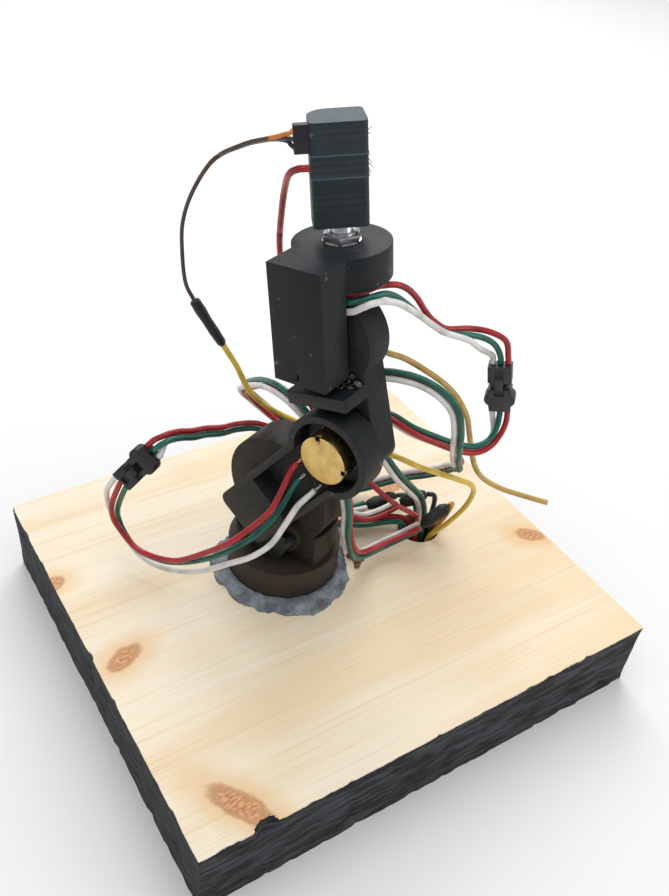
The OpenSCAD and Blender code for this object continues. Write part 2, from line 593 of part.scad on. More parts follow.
// One wire: a tube of n sides swept along the points
module tube(p, r, n = 8) {
    s = sides(p);
    rings = [for (i = [0 : len(p) - 1]) let (t = heading(p, i), u = s[i], v = cross(t, u))
        for (k = [0 : n - 1]) p[i] + r * (cos(k * 360 / n) * u + sin(k * 360 / n) * v)];
    polyhedron(rings, concat(
        [[for (k = [0 : n - 1]) k]],
        [for (i = [0 : len(p) - 2], k = [0 : n - 1]) let (j = (k + 1) % n)
            [i * n + k, (i + 1) * n + k, (i + 1) * n + j, i * n + j]],
        [[for (k = [n - 1 : -1 : 0]) (len(p) - 1) * n + k]]));
}

// Three wires that lie together round one route, with half a turn of lay. Where fan is given,
// they start side by side, that far apart, and close up over the first stretch.
fan_share = 0.18;
function smooth(t) = t * t * (3 - 2 * t);
module lead(route, fan = undef, n = 2) {
    p = curve(route, n);
    last = len(p) - 1;
    s = sides(p, 1, [side_from(heading(p, 0),
        fan == undef ? [0.31, 0.17, 0.94] : cross(fan, heading(p, 0)))]);
    for (w = [0 : 2]) color(lead_colours[w])
        tube([for (i = [0 : last])
            let (t = heading(p, i), a = 120 * (w - 1) + 180 * i / last,
                k = fan == undef ? 0 : smooth(max(0, 1 - i / last / fan_share)))
            p[i] + wire_ring * (1 - k * k) * (cos(a) * s[i] + sin(a) * cross(t, s[i]))
                + (k > 0 ? (w - 1) * k * fan : [0, 0, 0])], wire_r);
}

// Three wires that part from each other, each on a route of its own
module wires(red, green, white) {
    color(wire_red) tube(red, wire_r);
    color(wire_green) tube(green, wire_r);
    color(wire_white) tube(white, wire_r);
}

// Flat ribbon of three strands, which open to the header's pitch over the first stretch
module ribbon(route) {
    p = curve(route);
    last = len(p) - 1;
    s = sides(p, 1, [side_from(heading(p, 0), [0, 0, 1])]);
    for (w = [-1 : 1]) color(wire_brown)
        tube([for (i = [0 : last]) let (k = smooth(max(0, 1 - i / last / 0.3)))
            p[i] + w * (strand_pitch + (header_pitch - strand_pitch) * k) * s[i]], strand_r, 6);
}

// Places a child's +Z along the line from p to q, rolled about it
module along(p, q, roll = 0) let (d = q - p) translate(p)
    rotate([0, acos(d[2] / norm(d)), atan2(d[1], d[0])]) rotate([0, 0, roll]) children();

// A connector's heading, the line across its ways, and the middle of a way at a distance
function conn_axis(c) = unit(c[1] - c[0]);
function conn_across(c) = let (d = conn_axis(c), t = acos(d[2]), f = atan2(d[1], d[0]))
    cos(c[2]) * [cos(t) * cos(f), cos(t) * sin(f), -sin(t)] + sin(c[2]) * [-sin(f), cos(f), 0];
function way_at(c, i, out) = c[0] + conn_pitch * i * conn_across(c) + out * conn_axis(c);
function to_way(route, c, i) =
    concat(route, [way_at(c, i, -conn_in), way_at(c, i, -conn_touch)]);
function from_way(c, route) = concat([way_at(c, 0, 2 * conn_len + conn_touch)], route);
module in_conn(c) along(c[0], c[1], c[2]) children();

plug_body = 0.7 * conn_len;

module conn_plug() color(black_nylon) difference() {
    union() {
        translate([-conn_w / 2, -conn_t / 2, 0]) cube([conn_w, conn_t, plug_body]);
        translate([-conn_w / 2 + 0.9, -conn_t / 2 + 0.6, 0])
            cube([conn_w - 1.8, conn_t - 1.2, conn_len - 0.05]);
        // raised key and the latch beside it
        translate([conn_w / 2 - 2.6, 0, 0.3]) cube([2.6, conn_t / 2 + 0.7, plug_body - 0.6]);
        translate([-1.7, 0, plug_body - 1.6]) cube([2.8, conn_t / 2 + 0.8, conn_len - plug_body + 1.5]);
    }
    // window beside the key
    translate([-1.6, conn_t / 2 - 0.8, 1]) cube([2.4, 2, plug_body - 2.9]);
    for (i = [-1 : 1]) translate([i * conn_pitch, 0, -1]) cylinder(r = 0.9, h = 3.5);
}

module conn_socket() color(black_nylon) difference() {
    rotate([90, 0, 0]) translate([0, 0, -conn_t / 2]) linear_extrude(conn_t) union() {
        translate([-conn_w / 2, 0]) square([conn_w, 0.55 * conn_len]);
        // round finger grips
        for (s = [-1, 1]) translate([s * (conn_w / 2 - 1.4), 0.46 * conn_len]) circle(r = 2.6);
        polygon([[-conn_w / 2, 0.5 * conn_len], [conn_w / 2, 0.5 * conn_len],
            [conn_w / 2 - 0.4, conn_len], [-conn_w / 2 + 0.4, conn_len]]);
    }
    for (i = [-1 : 1]) translate([i * conn_pitch, 0, conn_len - 2.5]) cylinder(r = 0.9, h = 4);
    translate([-1.9, conn_t / 2 - 0.9, -1]) cube([3.2, 2, 3.5]);
}

module elbow_plug() in_conn(elbow_conn) conn_plug();
module elbow_socket() in_conn(elbow_conn) translate([0, 0, conn_len]) conn_socket();
module twist_plug() in_conn(twist_conn) conn_plug();
module twist_socket() in_conn(twist_conn) translate([0, 0, conn_len]) conn_socket();

module elbow_lead() wires(to_way(elbow_red, elbow_conn, 0), to_way(elbow_green, elbow_conn, -1),
    to_way(elbow_white, elbow_conn, 1));
module twist_lead() wires(to_way(twist_red, twist_conn, 1), to_way(twist_green, twist_conn, 0),
    to_way(twist_white, twist_conn, -1));
module elbow_pigtail() lead(from_way(elbow_conn, elbow_tail_route),
    -conn_pitch * conn_across(elbow_conn));
module twist_pigtail() lead(from_way(twist_conn, twist_tail_route),
    -conn_pitch * conn_across(twist_conn));

module hole_sleeves() color(black_nylon) for (s = sleeves)
    along(s[0], s[1]) cylinder(r = 2.6, h = norm(s[1] - s[0]));
module hole_loom() for (i = [0 : 2]) color(lead_colours[i]) tube(curve(loom_routes[i]), wire_r);

// ---- placed pieces ------------------------------------------------------

board();
putty_skirt();
base_ring();
in_ring_pot() pot_can();  // yaw_pot_can
in_ring_pot() pot_wafer();  // yaw_pot_wafer
in_ring_pot() pot_bushing();  // yaw_pot_bushing
in_ring_pot() pot_nut();  // yaw_pot_nut
turret();
shaft_clamp();
clamp_screw();
in_ring_pot() pot_shaft(wall + pocket_d + shaft_in_hub);  // yaw_pot_shaft
in_head_pot() pot_can();  // shoulder_pot_can
in_head_pot() pot_wafer();  // shoulder_pot_wafer
in_head_pot() pot_bushing();  // shoulder_pot_bushing
in_head_pot() pot_nut();  // shoulder_pot_nut
lower_arm();
in_head_pot() pot_shaft(wall + shoulder_gap + shaft_in_hub);  // shoulder_pot_shaft
in_lower_pot() pot_can();  // elbow_pot_can
in_lower_pot() pot_wafer();  // elbow_pot_wafer
in_lower_pot() pot_bushing();  // elbow_pot_bushing
in_lower_pot() pot_nut();  // elbow_pot_nut
upper_arm();
in_lower_pot() pot_shaft(wall + pocket_d + shaft_in_hub);  // elbow_pot_shaft
in_upper_pot() pot_can();  // wrist_pot_can
in_upper_pot() pot_wafer();  // wrist_pot_wafer
in_upper_pot() pot_bushing();  // wrist_pot_bushing
in_upper_pot() pot_nut();  // wrist_pot_nut
wrist_block();
in_upper_pot() pot_shaft(wall + wrist_gap + shaft_in_hub);  // wrist_pot_shaft
in_wrist_pot() pot_can();  // twist_pot_can
in_wrist_pot() pot_wafer();  // twist_pot_wafer
in_wrist_pot() pot_bushing();  // twist_pot_bushing
in_wrist_pot() pot_nut();  // twist_pot_nut
handle();
in_wrist_pot() pot_shaft(wall + handle_lift + shaft_in_hub);  // twist_pot_shaft
header_housing();
elbow_lead();
elbow_plug();
elbow_socket();
elbow_pigtail();
lead(shoulder_route);  // shoulder_lead
lead(yaw_route);  // yaw_lead
twist_lead();
twist_plug();
twist_socket();
twist_pigtail();
lead(wrist_route);  // wrist_lead
color(wire_tan) tube(curve(tan_route), wire_r);  // tan_lead
ribbon(ribbon_route);  // signal_ribbon
color(black_nylon) tube(curve(sleeve_route), 1.6);  // signal_sleeve
color(wire_tan) tube(curve(signal_route), wire_r);  // signal_wire
color(wire_red) tube(curve(handle_route), wire_r);  // handle_lead
hole_sleeves();
hole_loom();
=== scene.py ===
import bmesh
import bpy
import json
import math
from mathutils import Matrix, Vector, noise


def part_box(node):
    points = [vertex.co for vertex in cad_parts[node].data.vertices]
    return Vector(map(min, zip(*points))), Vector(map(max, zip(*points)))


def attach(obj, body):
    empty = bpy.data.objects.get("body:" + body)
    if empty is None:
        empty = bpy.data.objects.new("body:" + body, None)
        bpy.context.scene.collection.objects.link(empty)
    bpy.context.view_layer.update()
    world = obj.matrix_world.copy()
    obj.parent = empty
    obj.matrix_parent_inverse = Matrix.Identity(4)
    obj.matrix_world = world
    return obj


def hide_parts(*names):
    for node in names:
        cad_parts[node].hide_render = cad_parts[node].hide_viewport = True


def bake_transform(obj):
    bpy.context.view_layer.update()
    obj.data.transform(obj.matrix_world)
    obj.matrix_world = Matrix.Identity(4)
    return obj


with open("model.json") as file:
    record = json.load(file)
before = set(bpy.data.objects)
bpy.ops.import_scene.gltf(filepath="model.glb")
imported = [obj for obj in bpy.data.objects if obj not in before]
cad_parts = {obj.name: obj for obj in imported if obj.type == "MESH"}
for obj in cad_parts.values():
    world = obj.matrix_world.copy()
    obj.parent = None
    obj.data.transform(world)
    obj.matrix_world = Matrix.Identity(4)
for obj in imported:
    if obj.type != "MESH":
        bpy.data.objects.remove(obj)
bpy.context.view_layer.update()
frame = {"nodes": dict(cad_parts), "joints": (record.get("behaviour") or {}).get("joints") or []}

nodes = frame["nodes"]


# Camera: held in front of the board's near left corner, a little above the grip.

camera = bpy.data.objects.new("camera", bpy.data.cameras.new("camera"))
bpy.context.collection.objects.link(camera)
camera.location = (-0.1472, -0.2046, 0.2918)
camera.rotation_euler = [math.radians(a) for a in (50.80, -4.77, -32.15)]
camera.data.lens, camera.data.sensor_width = 38.35, 36
camera.data.clip_start = 0.01
bpy.context.scene.camera = camera


# Leads: hook-up wire of 2 mm in red, green and white PVC, its stripped ends soldered to the three
# lugs of each potentiometer. The three lie loosely together and were laid by hand. A wire that
# crosses joints is cut where the body that it passes changes, and ends in a splice or the hole.

class Socket:
    """A node's output, with the operators that shader maths is written in."""

    def __init__(self, tree, out):
        self.tree, self.out = tree, out

    def math(self, op, *values):
        node = self.tree.nodes.new("ShaderNodeMath")
        node.operation = op
        for socket, value in zip(node.inputs, values):
            if isinstance(value, Socket):
                self.tree.links.new(value.out, socket)
            else:
                socket.default_value = value
        return Socket(self.tree, node.outputs[0])

    def __add__(self, o): return self.math("ADD", self, o)
    def __radd__(self, o): return self.math("ADD", o, self)
    def __sub__(self, o): return self.math("SUBTRACT", self, o)
    def __rsub__(self, o): return self.math("SUBTRACT", o, self)
    def __mul__(self, o): return self.math("MULTIPLY", self, o)
    def __rmul__(self, o): return self.math("MULTIPLY", o, self)
    def __truediv__(self, o): return self.math("DIVIDE", self, o)
    def __pow__(self, o): return self.math("POWER", self, o)
    def __abs__(self): return self.math("ABSOLUTE", self)
    def over(self, edge): return self.math("GREATER_THAN", self, edge)
    def under(self, edge): return self.math("LESS_THAN", self, edge)
    def most(self, o): return self.math("MAXIMUM", self, o)
    def sine(self): return self.math("SINE", self)

    def ramp(self, low, high):
        """0 at low and 1 at high, smooth between."""
        return shader_node(self.tree, "ShaderNodeMapRange", {"interpolation_type": "SMOOTHSTEP"},
                      Value=self, From_Min=low, From_Max=high)


def shader_node(tree, kind, settings=None, output=None, **values):
    """A node with its settings, and values or links for its sockets."""
    node = tree.nodes.new(kind)
    for name, value in (settings or {}).items():
        setattr(node, name, value)
    for name, value in values.items():
        socket = next(s for s in node.inputs if s.enabled and s.name == name.replace("_", " "))
        if isinstance(value, Socket):
            tree.links.new(value.out, socket)
        else:
            socket.default_value = value
    out = node.outputs[output] if output else next(o for o in node.outputs if o.enabled)
    return Socket(tree, out)


class Finish:
    """A material on the principled shader."""

    def __init__(self, name, **constants):
        self.material = bpy.data.materials.new(name)
        self.material.use_nodes = True
        self.tree = self.material.node_tree
        self.shader = self.tree.nodes["Principled BSDF"]
        for socket, value in constants.items():
            self.shader.inputs[socket.replace("_", " ")].default_value = value

    def node(self, kind, settings=None, output=None, **values):
        return shader_node(self.tree, kind, settings, output, **values)

    def spot(self):
        return self.node("ShaderNodeTexCoord", output="Object")

    def noise(self, scale, detail=3, vector=None):
        return self.node("ShaderNodeTexNoise", Vector=vector or self.spot(), Scale=scale,
                         Detail=detail)

    def dot(self, axis, vector=None):
        """How far a point lies along an axis of the object, or a normal faces along it."""
        node = self.tree.nodes.new("ShaderNodeVectorMath")
        node.operation = "DOT_PRODUCT"
        self.tree.links.new((vector or self.spot()).out, node.inputs[0])
        node.inputs[1].default_value = axis
        return Socket(self.tree, node.outputs["Value"])

    def stretch(self, scale, move=(0, 0, 0)):
        return self.node("ShaderNodeMapping", Vector=self.spot(), Scale=scale, Location=move)

    def blend(self, amount, low, high):
        """A colour between low and high."""
        node = self.tree.nodes.new("ShaderNodeMix")
        node.data_type = "RGBA"
        for n, value in ((0, amount), (6, low), (7, high)):
            if isinstance(value, Socket):
                self.tree.links.new(value.out, node.inputs[n])
            else:
                node.inputs[n].default_value = (*value, 1) if n else value
        return Socket(self.tree, node.outputs[2])

    def relief(self, height, distance, strength=1.0):
        return self.node("ShaderNodeBump", Height=height, Distance=distance, Strength=strength)

    def send(self, **links):
        for name, value in links.items():
            self.tree.links.new(value.out, self.shader.inputs[name.replace("_", " ")])
        return self.material


def insulation(name, colour, dirt, core=(0.62, 0.56, 0.50), tip=None):
    """Glossy PVC, dulled and mottled by handling. Before the insulation starts, the wire is its
    stripped strands, twisted and tinned; the mesh's map holds the distance from there. Where tip
    is given, it is the colour of the first stretch."""
    f = Finish(name, Specular_IOR_Level=0.5)
    run = f.node("ShaderNodeTexCoord", output="UV")
    along = f.dot((0, 1, 0), run)
    bare = along.under(0)
    # The grooves between the twisted strands are painted down to 0.35 of the strand colour: painted
    # shade.
    twist = (f.dot((math.tau * 3, -5200, 0), run).sine() * 0.5 + 0.5) * bare
    smudge = f.noise(170, 2).ramp(0.40, 0.72)
    skin = f.blend(smudge, colour, dirt)
    if tip:
        skin = f.blend(along.under(tip_length), skin, tip)
    return f.send(Base_Color=f.blend(bare, skin, f.blend(twist, [0.35 * c for c in core], core)),
                  Metallic=bare * 0.9, Roughness=0.27 + smudge * 0.16 + bare * 0.12,
                  Normal=f.relief(f.noise(900, 2) * 0.25 + twist, 0.0002, 0.4))


copper, tip_length = (0.72, 0.36, 0.24), 0.008
wire_colours = {
    "red": insulation("red_pvc_insulation", (0.42, 0.013, 0.020), (0.27, 0.010, 0.016), copper),
    "green": insulation("green_pvc_insulation", (0.004, 0.130, 0.095), (0.003, 0.070, 0.055)),
    "white": insulation("white_pvc_insulation", (0.80, 0.79, 0.77), (0.60, 0.59, 0.57)),
    "tan": insulation("tan_pvc_insulation", (0.56, 0.38, 0.10), (0.42, 0.27, 0.07)),
    "yellow": insulation("yellow_pvc_insulation", (0.78, 0.55, 0.075), (0.60, 0.40, 0.05)),
    "orange": insulation("orange_pvc_insulation", (0.62, 0.26, 0.035), (0.45, 0.17, 0.025)),
    "teal": insulation("teal_pvc_insulation", (0.008, 0.060, 0.070), (0.005, 0.035, 0.045)),
    "navy": insulation("navy_pvc_insulation", (0.012, 0.016, 0.050), (0.008, 0.010, 0.030)),
}
for tip, colour in (("navy", (0.010, 0.014, 0.060)), ("brown", (0.080, 0.046, 0.030)),
                    ("orange", (0.62, 0.20, 0.03))):
    wire_colours["ribbon_" + tip] = insulation(f"ribbon_insulation_{tip}", (0.080, 0.046, 0.030),
                                               (0.050, 0.030, 0.022), tip=colour)
wire_r = 0.001
wire_ring = 0.00135         # reach of each wire of a lead from its middle
fan_share = 0.18            # share of a lead in which the wires close up after a connector


def through(points, steps=6):
    """A smooth curve in metres through points in millimetres."""
    p = [Vector(q) / 1000 for q in points]
    p = [2 * p[0] - p[1]] + p + [2 * p[-1] - p[-2]]
    line = []
    for a, b, c, d in zip(p, p[1:], p[2:], p[3:]):
        for k in range(steps):
            t = k / steps
            line.append(0.5 * (2 * b + (c - a) * t + (2 * a - 5 * b + 4 * c - d) * t * t
                               + (3 * b - a - 3 * c + d) * t ** 3))
    return line + [p[-2]]


def carried(line, start=None):
    """The heading at each point and a sideways direction, carried along without twisting."""
    frames, side = [], start or Vector((0.31, 0.17, 0.94))
    for n in range(len(line)):
        ahead = (line[min(n + 1, len(line) - 1)] - line[max(n - 1, 0)]).normalized()
        side = (side - side.dot(ahead) * ahead).normalized()
        frames.append((ahead, side))
    return frames


def tube(name, rings, runs, material):
    """A closed tube through rings of points. runs is each ring's distance along it."""
    mesh, b = bpy.data.meshes.new(name), bmesh.new()
    uv = b.loops.layers.uv.new("along")
    loops = [[b.verts.new(p) for p in ring] for ring in rings]
    n = len(loops[0])
    for low, high, here, there in zip(loops, loops[1:], runs, runs[1:]):
        for k in range(n):
            face = b.faces.new((low[k], low[(k + 1) % n], high[(k + 1) % n], high[k]))
            face.smooth = True
            for loop, at in zip(face.loops, ((k, here), (k + 1, here), (k + 1, there), (k, there))):
                loop[uv].uv = (at[0] / n, at[1])
    for end, run in ((loops[0], runs[0]), (loops[-1], runs[-1])):
        for loop in b.faces.new(end).loops:
            loop[uv].uv = (0.5, run)
    bmesh.ops.recalc_face_normals(b, faces=b.faces)
    b.to_mesh(mesh)
    b.free()
    piece = bpy.data.objects.new(name, mesh)
    bpy.context.collection.objects.link(piece)
    mesh.materials.append(material)
    return piece


def wire(name, line, colour, carry, node=None, radius=wire_r, stripped=0.0,
         declared=True):
    """One wire along a line. carry lists the bodies that it passes, each with a share of the line;
    the wire is cut into stretches at the shares of the bodies between the first and the last. A
    wire with one body follows that body, and the stretches of a longer one stay where they are."""
    last, sides, run = len(line) - 1, 12, -stripped
    rings, runs, points = [], [], []
    for n, (point, (ahead, side)) in enumerate(zip(line, carried(line))):
        run += (point - line[n - 1]).length if n else 0
        up = ahead.cross(side)
        for full in ((False, True) if runs and runs[-1] < 0 <= run else (run >= 0,)):
            reach = radius if full else 0.6 * radius
            rings.append([point + reach * (math.cos(math.tau * k / sides) * side
                                           + math.sin(math.tau * k / sides) * up)
                          for k in range(sides)])
            runs.append(run if full else min(run, -1e-6))
            points.append(point)
    stretches = []
    cuts = [0] + [round(share * last) for _, share in carry[1:-1]] + [last]
    cuts = [0] + [c + len(points) - last - 1 for c in cuts[1:]]
    for n, (low, high) in enumerate(zip(cuts, cuts[1:])):
        piece = tube(name if len(cuts) == 2 else f"{name}_{n + 1}", rings[low:high + 1],
                     runs[low:high + 1], wire_colours[colour])
        length = runs[high] - runs[low]
        if declared and length > 0.03:
            ends = n == len(cuts) - 2
            points[low:high + 1]
        if len(carry) == 1:
            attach(piece, carry[0][0])
        else:
            (body, start), (next_body, end) = carry[n:n + 2]
            line[round(start * last)]
            line[round(end * last)]
            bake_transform(piece)
        stretches.append(piece)
    if node:
        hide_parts(node)
    return stretches


def ease(t):
    return t * t * (3 - 2 * t)


def lead(name, route, carry, fan=None, stripped=0.0):
    """Three wires that lie together round one route, with half a turn of lay. Where fan is given,
    they start side by side, that far apart, and close up."""
    line = through(route)
    frames = carried(line, fan and fan.cross(line[1] - line[0]))
    for w, colour in enumerate(("red", "green", "white")):
        path = []
        for n, (point, (ahead, side)) in enumerate(zip(line, frames)):
            share = n / (len(line) - 1)
            turn = math.radians(120 * (w - 1) + 180 * share)
            k = ease(max(0, 1 - share / fan_share)) if fan else 0
            path.append(point + wire_ring * (1 - k * k)
                        * (math.cos(turn) * side + math.sin(turn) * ahead.cross(side))
                        + ((w - 1) * k * fan if fan else Vector()))
        wire(f"{name}_{colour}", path, colour, carry, node=None if w else name, stripped=stripped,
             declared=w == 0)


class Connector:
    """Where a three-way connector stands: its start, its heading and the line across its ways."""

    pitch, half, into, touch = 2.5, 8.5, 3, 0.15

    def __init__(self, start, heading, roll):
        self.start, roll = Vector(start), math.radians(roll)
        self.axis = (Vector(heading) - self.start).normalized()
        tilt, turn = math.acos(self.axis.z), math.atan2(self.axis.y, self.axis.x)
        self.across = (math.cos(roll) * Vector((math.cos(tilt) * math.cos(turn),
                                                math.cos(tilt) * math.sin(turn), -math.sin(tilt)))
                       + math.sin(roll) * Vector((-math.sin(turn), math.cos(turn), 0)))

    def way(self, i, out):
        return self.start + self.pitch * i * self.across + out * self.axis

    def into_way(self, route, i):
        return [*route, self.way(i, -self.into), self.way(i, -self.touch)]

    def out_of_middle(self, route):
        return [self.way(0, 2 * self.half + self.touch), *route]

    def fan(self):
        return -self.pitch * self.across / 1000


def parted(name, ways, routes, connector, carry, stripped):
    """Three wires that part from each other, each on its own route to its way in a connector."""
    for colour, way, route in zip(("red", "green", "white"), ways, routes):
        first = colour == "red"
        wire(f"{name}_{colour}", through(connector.into_way(route, way)), colour, carry,
             node=name if first else None, stripped=stripped)


stripped = 0.0026           # bare strands at a soldered end
base, turret, lower, upper = "base_group", "turret_group", "lower_arm_group", "upper_arm_group"
wrist, grip = "wrist_group", "handle_group"

elbow_conn = Connector((-63.5, 27.5, 76.5), (-55.5, 21.5, 90), 163)
elbow_red = [
    (-19.8, -13.6, 101), (-22.5, -12, 96), (-26, -13, 90.5), (-31, -14, 83), (-37, -11.5, 75.5),
    (-43, -8.5, 69), (-48.5, -1, 60), (-54, 8, 51), (-58.5, 18, 46), (-62, 25.5, 45.5),
    (-64.5, 30.5, 49.5), (-66.5, 33, 55), (-67, 32, 63)]
elbow_green = [
    (-19, -14.5, 94.5), (-21, -13, 90.5), (-24, -12.5, 84.5), (-28, -13, 79.5),
    (-33.5, -12.5, 73.5), (-39, -10, 68), (-45.5, -4, 60), (-50.5, 5.5, 51), (-54.5, 14, 45),
    (-58, 21.5, 42.5), (-61, 27.5, 42.5), (-63, 32.5, 47), (-64, 35, 52.5), (-64.5, 33, 60)]
elbow_white = [
    (-16.5, -20.5, 93.5), (-19.5, -19.5, 90), (-23.5, -18, 85), (-27.5, -17.5, 78), (-32, -17, 71),
    (-37.5, -14, 65), (-42, -7, 57.5), (-46.5, 2, 48), (-50.5, 11, 41), (-55, 20, 37),
    (-59, 28.5, 37), (-62, 35.5, 42), (-64.5, 38.5, 50), (-66.5, 37.5, 60), (-67.5, 34, 68.5)]
parted("elbow_lead", (0, -1, 1), (elbow_red, elbow_green, elbow_white), elbow_conn,
       ((lower, 0), (turret, 0.8)), stripped)
elbow_tail_route = [
    (-54.7, 20.7, 91.8), (-53.3, 20, 94), (-50.5, 19.4, 95.5), (-46.5, 20.3, 94.5), (-41, 23, 91),
    (-34, 27, 87), (-26, 31, 82), (-17, 35, 78), (-8, 35, 75), (1, 31, 69), (7, 24, 60),
    (11, 16, 50), (16, 11, 42), (23, 7, 38.5), (31, 6, 38.5), (39, 6, 40)]
lead("elbow_pigtail", elbow_conn.out_of_middle(elbow_tail_route), ((turret, 0), (base, 0.85)),
     fan=elbow_conn.fan())
shoulder_route = [
    (-10, 8, 83), (-6, 10, 82), (-1, 14, 79), (1, 22, 77), (-2, 32, 78), (-8, 39.5, 84),
    (-13, 38.5, 91), (-14, 32.5, 97), (-14.5, 22.5, 104), (-15, 11, 109), (-13, 3, 108),
    (-10, -3, 103), (-7, -7, 94), (-3, -12, 84), (-1, -15, 72), (1, -14, 58), (6, -12, 45),
    (14, -8, 37), (24, -6, 35), (34, -7, 37), (39.5, -9, 40.5)]
lead("shoulder_lead", shoulder_route, ((turret, 0.5), (base, 0.9)), stripped=stripped)
yaw_route = [
    (1.7, 10.2, 35.9), (5, 10.8, 35.9), (10, 11.5, 35.8), (15, 11, 34.8), (20, 10.5, 33.4),
    (27, 8, 33), (35, 4.5, 34.5), (40, 2.5, 33.5), (42.2, 2.3, 28.5), (42.5, 2.5, 21),
    (42.5, 2.5, 12), (42.5, 2.5, 4)]
lead("yaw_lead", yaw_route, ((base, 0),), stripped=stripped)
twist_conn = Connector((47, -23.5, 122.5), (49, -26, 105.5), 175)
twist_red = [
    (-16.7, -14.2, 162.8), (-14.1, -14.2, 160.5), (-11.7, -14.8, 158.7), (-9.8, -15.9, 158),
    (-7.1, -16.3, 158.1), (-4.4, -16.3, 158.2), (-1.7, -15.9, 158.3), (1, -15.5, 158),
    (5.5, -16, 157.5), (10, -16, 155), (14, -16, 151), (17.5, -16.5, 146), (21, -17, 142),
    (26.5, -17.5, 138), (35.5, -18, 136), (42, -20.5, 134.5), (47, -23.5, 131.5)]
twist_green = [
    (-18.3, -10.2, 162.1), (-15.7, -10.2, 159.7), (-14.7, -11.4, 157.5), (-13.7, -13.6, 156.2),
    (-12.3, -16.1, 156.1), (-10.2, -18.1, 156.8), (-7.6, -19.2, 157.5), (-5.1, -19.9, 158.2),
    (0, -18.8, 157.3), (4, -18.8, 155.3), (8, -18.8, 152), (13.5, -19.5, 147), (19, -19.6, 142.3),
    (25, -19.8, 138), (34, -20.7, 135.5), (40, -21.5, 133), (44.5, -22, 129.5)]
twist_white = [
    (-19.9, -6.2, 161.3), (-17.7, -6, 158.2), (-16.5, -7.2, 155.8), (-15.1, -10.2, 153.9),
    (-13.5, -14, 153.4), (-12.3, -17.3, 153.7), (-11.4, -19.9, 155), (-9.8, -21.7, 156.8),
    (-7.3, -23, 158.2), (-2, -21.6, 156.8), (3, -22, 155), (10, -22.5, 150), (16.5, -21.9, 144.5),
    (22, -22.5, 140.5), (31, -23.3, 136), (37, -23, 131), (42, -21.3, 127.3)]
parted("twist_lead", (1, 0, -1), (twist_red, twist_green, twist_white), twist_conn,
       ((wrist, 0.2), (upper, 0.75)), stripped)
twist_tail_route = [
    (49.3, -26.3, 102.5), (49.2, -26.8, 99.5), (48.4, -27.3, 96.3), (46.2, -27.6, 93.6),
    (42.5, -27.5, 92.2), (38, -26.7, 92.3), (32, -25, 94.5), (24, -23, 99), (17, -20, 103),
    (12, -14, 106), (9, -8, 104), (10, -2, 98), (14, 0, 89), (20, -3, 79), (27, -5, 68),
    (35, -4, 58), (42, -2, 49), (45.5, -1.5, 40), (46, -1.5, 30), (46, -1.5, 18), (46, -1.5, 4)]
lead("twist_pigtail", twist_conn.out_of_middle(twist_tail_route),
     ((upper, 0), (lower, 0.35), (turret, 0.6), (base, 0.85)), fan=twist_conn.fan())
wrist_route = [
    (-3.3, -11.9, 128.6), (0, -12, 127), (4, -14, 125.5), (9, -18, 126), (14, -24, 126),
    (18, -30, 124), (21, -34, 119.5), (23, -35, 112), (25, -34, 104), (28, -32, 96),
    (33, -28.5, 88.5), (38, -21, 81), (42, -12, 71), (43.5, -2, 61), (43, 8, 52), (41, 16, 44),
    (36, 23, 37), (28, 27, 34), (20, 27, 34), (15, 22, 34.5), (17, 17.5, 35.5), (23, 15, 36),
    (29.8, 14, 36)]
lead("wrist_lead", wrist_route, ((upper, 0.1), (lower, 0.35), (turret, 0.52), (base, 0.7)),
     stripped=stripped)
tan_route = [
    (2, -13, 136), (6, -16, 134), (11, -18.5, 132), (19, -20, 126), (26, -22, 120), (32, -23, 113),
    (37.5, -23, 104), (42, -21, 95), (46, -20, 85), (50, -20, 75), (55, -21, 68), (61, -25, 64),
    (69, -30, 61), (76, -35, 59)]
wire("tan_wire", through(tan_route), "tan",
     ((upper, 0.1), (lower, 0.4), (turret, 0.65), (base, 0.85)), node="tan_lead")


# Signal ribbon: three bonded strands that leave the header side by side, parted at first and
# coloured apart there, turn onto edge, run down to a shrunk sleeve and go on as one yellow wire.

ribbon_route = [
    (-20.5, 1.1, 197.2), (-21.1, 1.8, 197.1), (-22.5, 3.5, 196.9), (-25, 8.5, 195), (-28, 16, 191),
    (-32, 25, 184), (-35.5, 31, 173), (-37, 35, 162), (-37, 36, 152), (-37, 34, 142),
    (-35, 32, 136)]
strand_pitch, header_pitch, strand_r = 0.00135, 0.00254, 0.00062
ribbon_edge = Vector((0.375, 0.817, -0.443))    # the way that the ribbon's width lies once it hangs
ribbon_line = through(ribbon_route)
ribbon_frames = carried(ribbon_line, Vector((0, 0, 1)))
for w, colour in zip((-1, 0, 1), ("navy", "brown", "orange")):
    path = []
    for n, (point, (ahead, side)) in enumerate(zip(ribbon_line, ribbon_frames)):
        k = ease(max(0, 1 - n / (len(ribbon_line) - 1) / 0.3))
        edge = ribbon_edge - ribbon_edge.dot(ahead) * ahead
        edge *= math.copysign(1, edge.dot(side))
        across = edge.lerp(side, k).normalized()
        path.append(point + w * (strand_pitch + (header_pitch - strand_pitch) * k) * across)
    wire(f"ribbon_strand_{w + 2}", path, "ribbon_" + colour, ((grip, 0.1), (wrist, 0.9)),
         node="signal_ribbon" if w == -1 else None, radius=strand_r)
signal_route = [
    (-27, 28, 120), (-22.5, 26.5, 111), (-18.5, 25, 101), (-12, 25.5, 92.5), (-5, 25, 86),
    (1, 18, 84), (5, 8, 86), (8, -3, 89), (12, -13, 91), (16, -20, 91), (22, -22, 87),
    (30, -23, 82), (38, -24, 77), (46, -24, 71), (51, -21, 62), (52, -17, 51), (50.5, -11.5, 39),
    (47.5, -7, 30), (46.5, -6.5, 23), (46.5, -6.5, 14), (46.5, -6.5, 4)]
wire("signal_wire", through(signal_route), "yellow",
     ((wrist, 0), (upper, 0.3), (lower, 0.5), (turret, 0.68), (base, 0.88)), node="signal_wire")
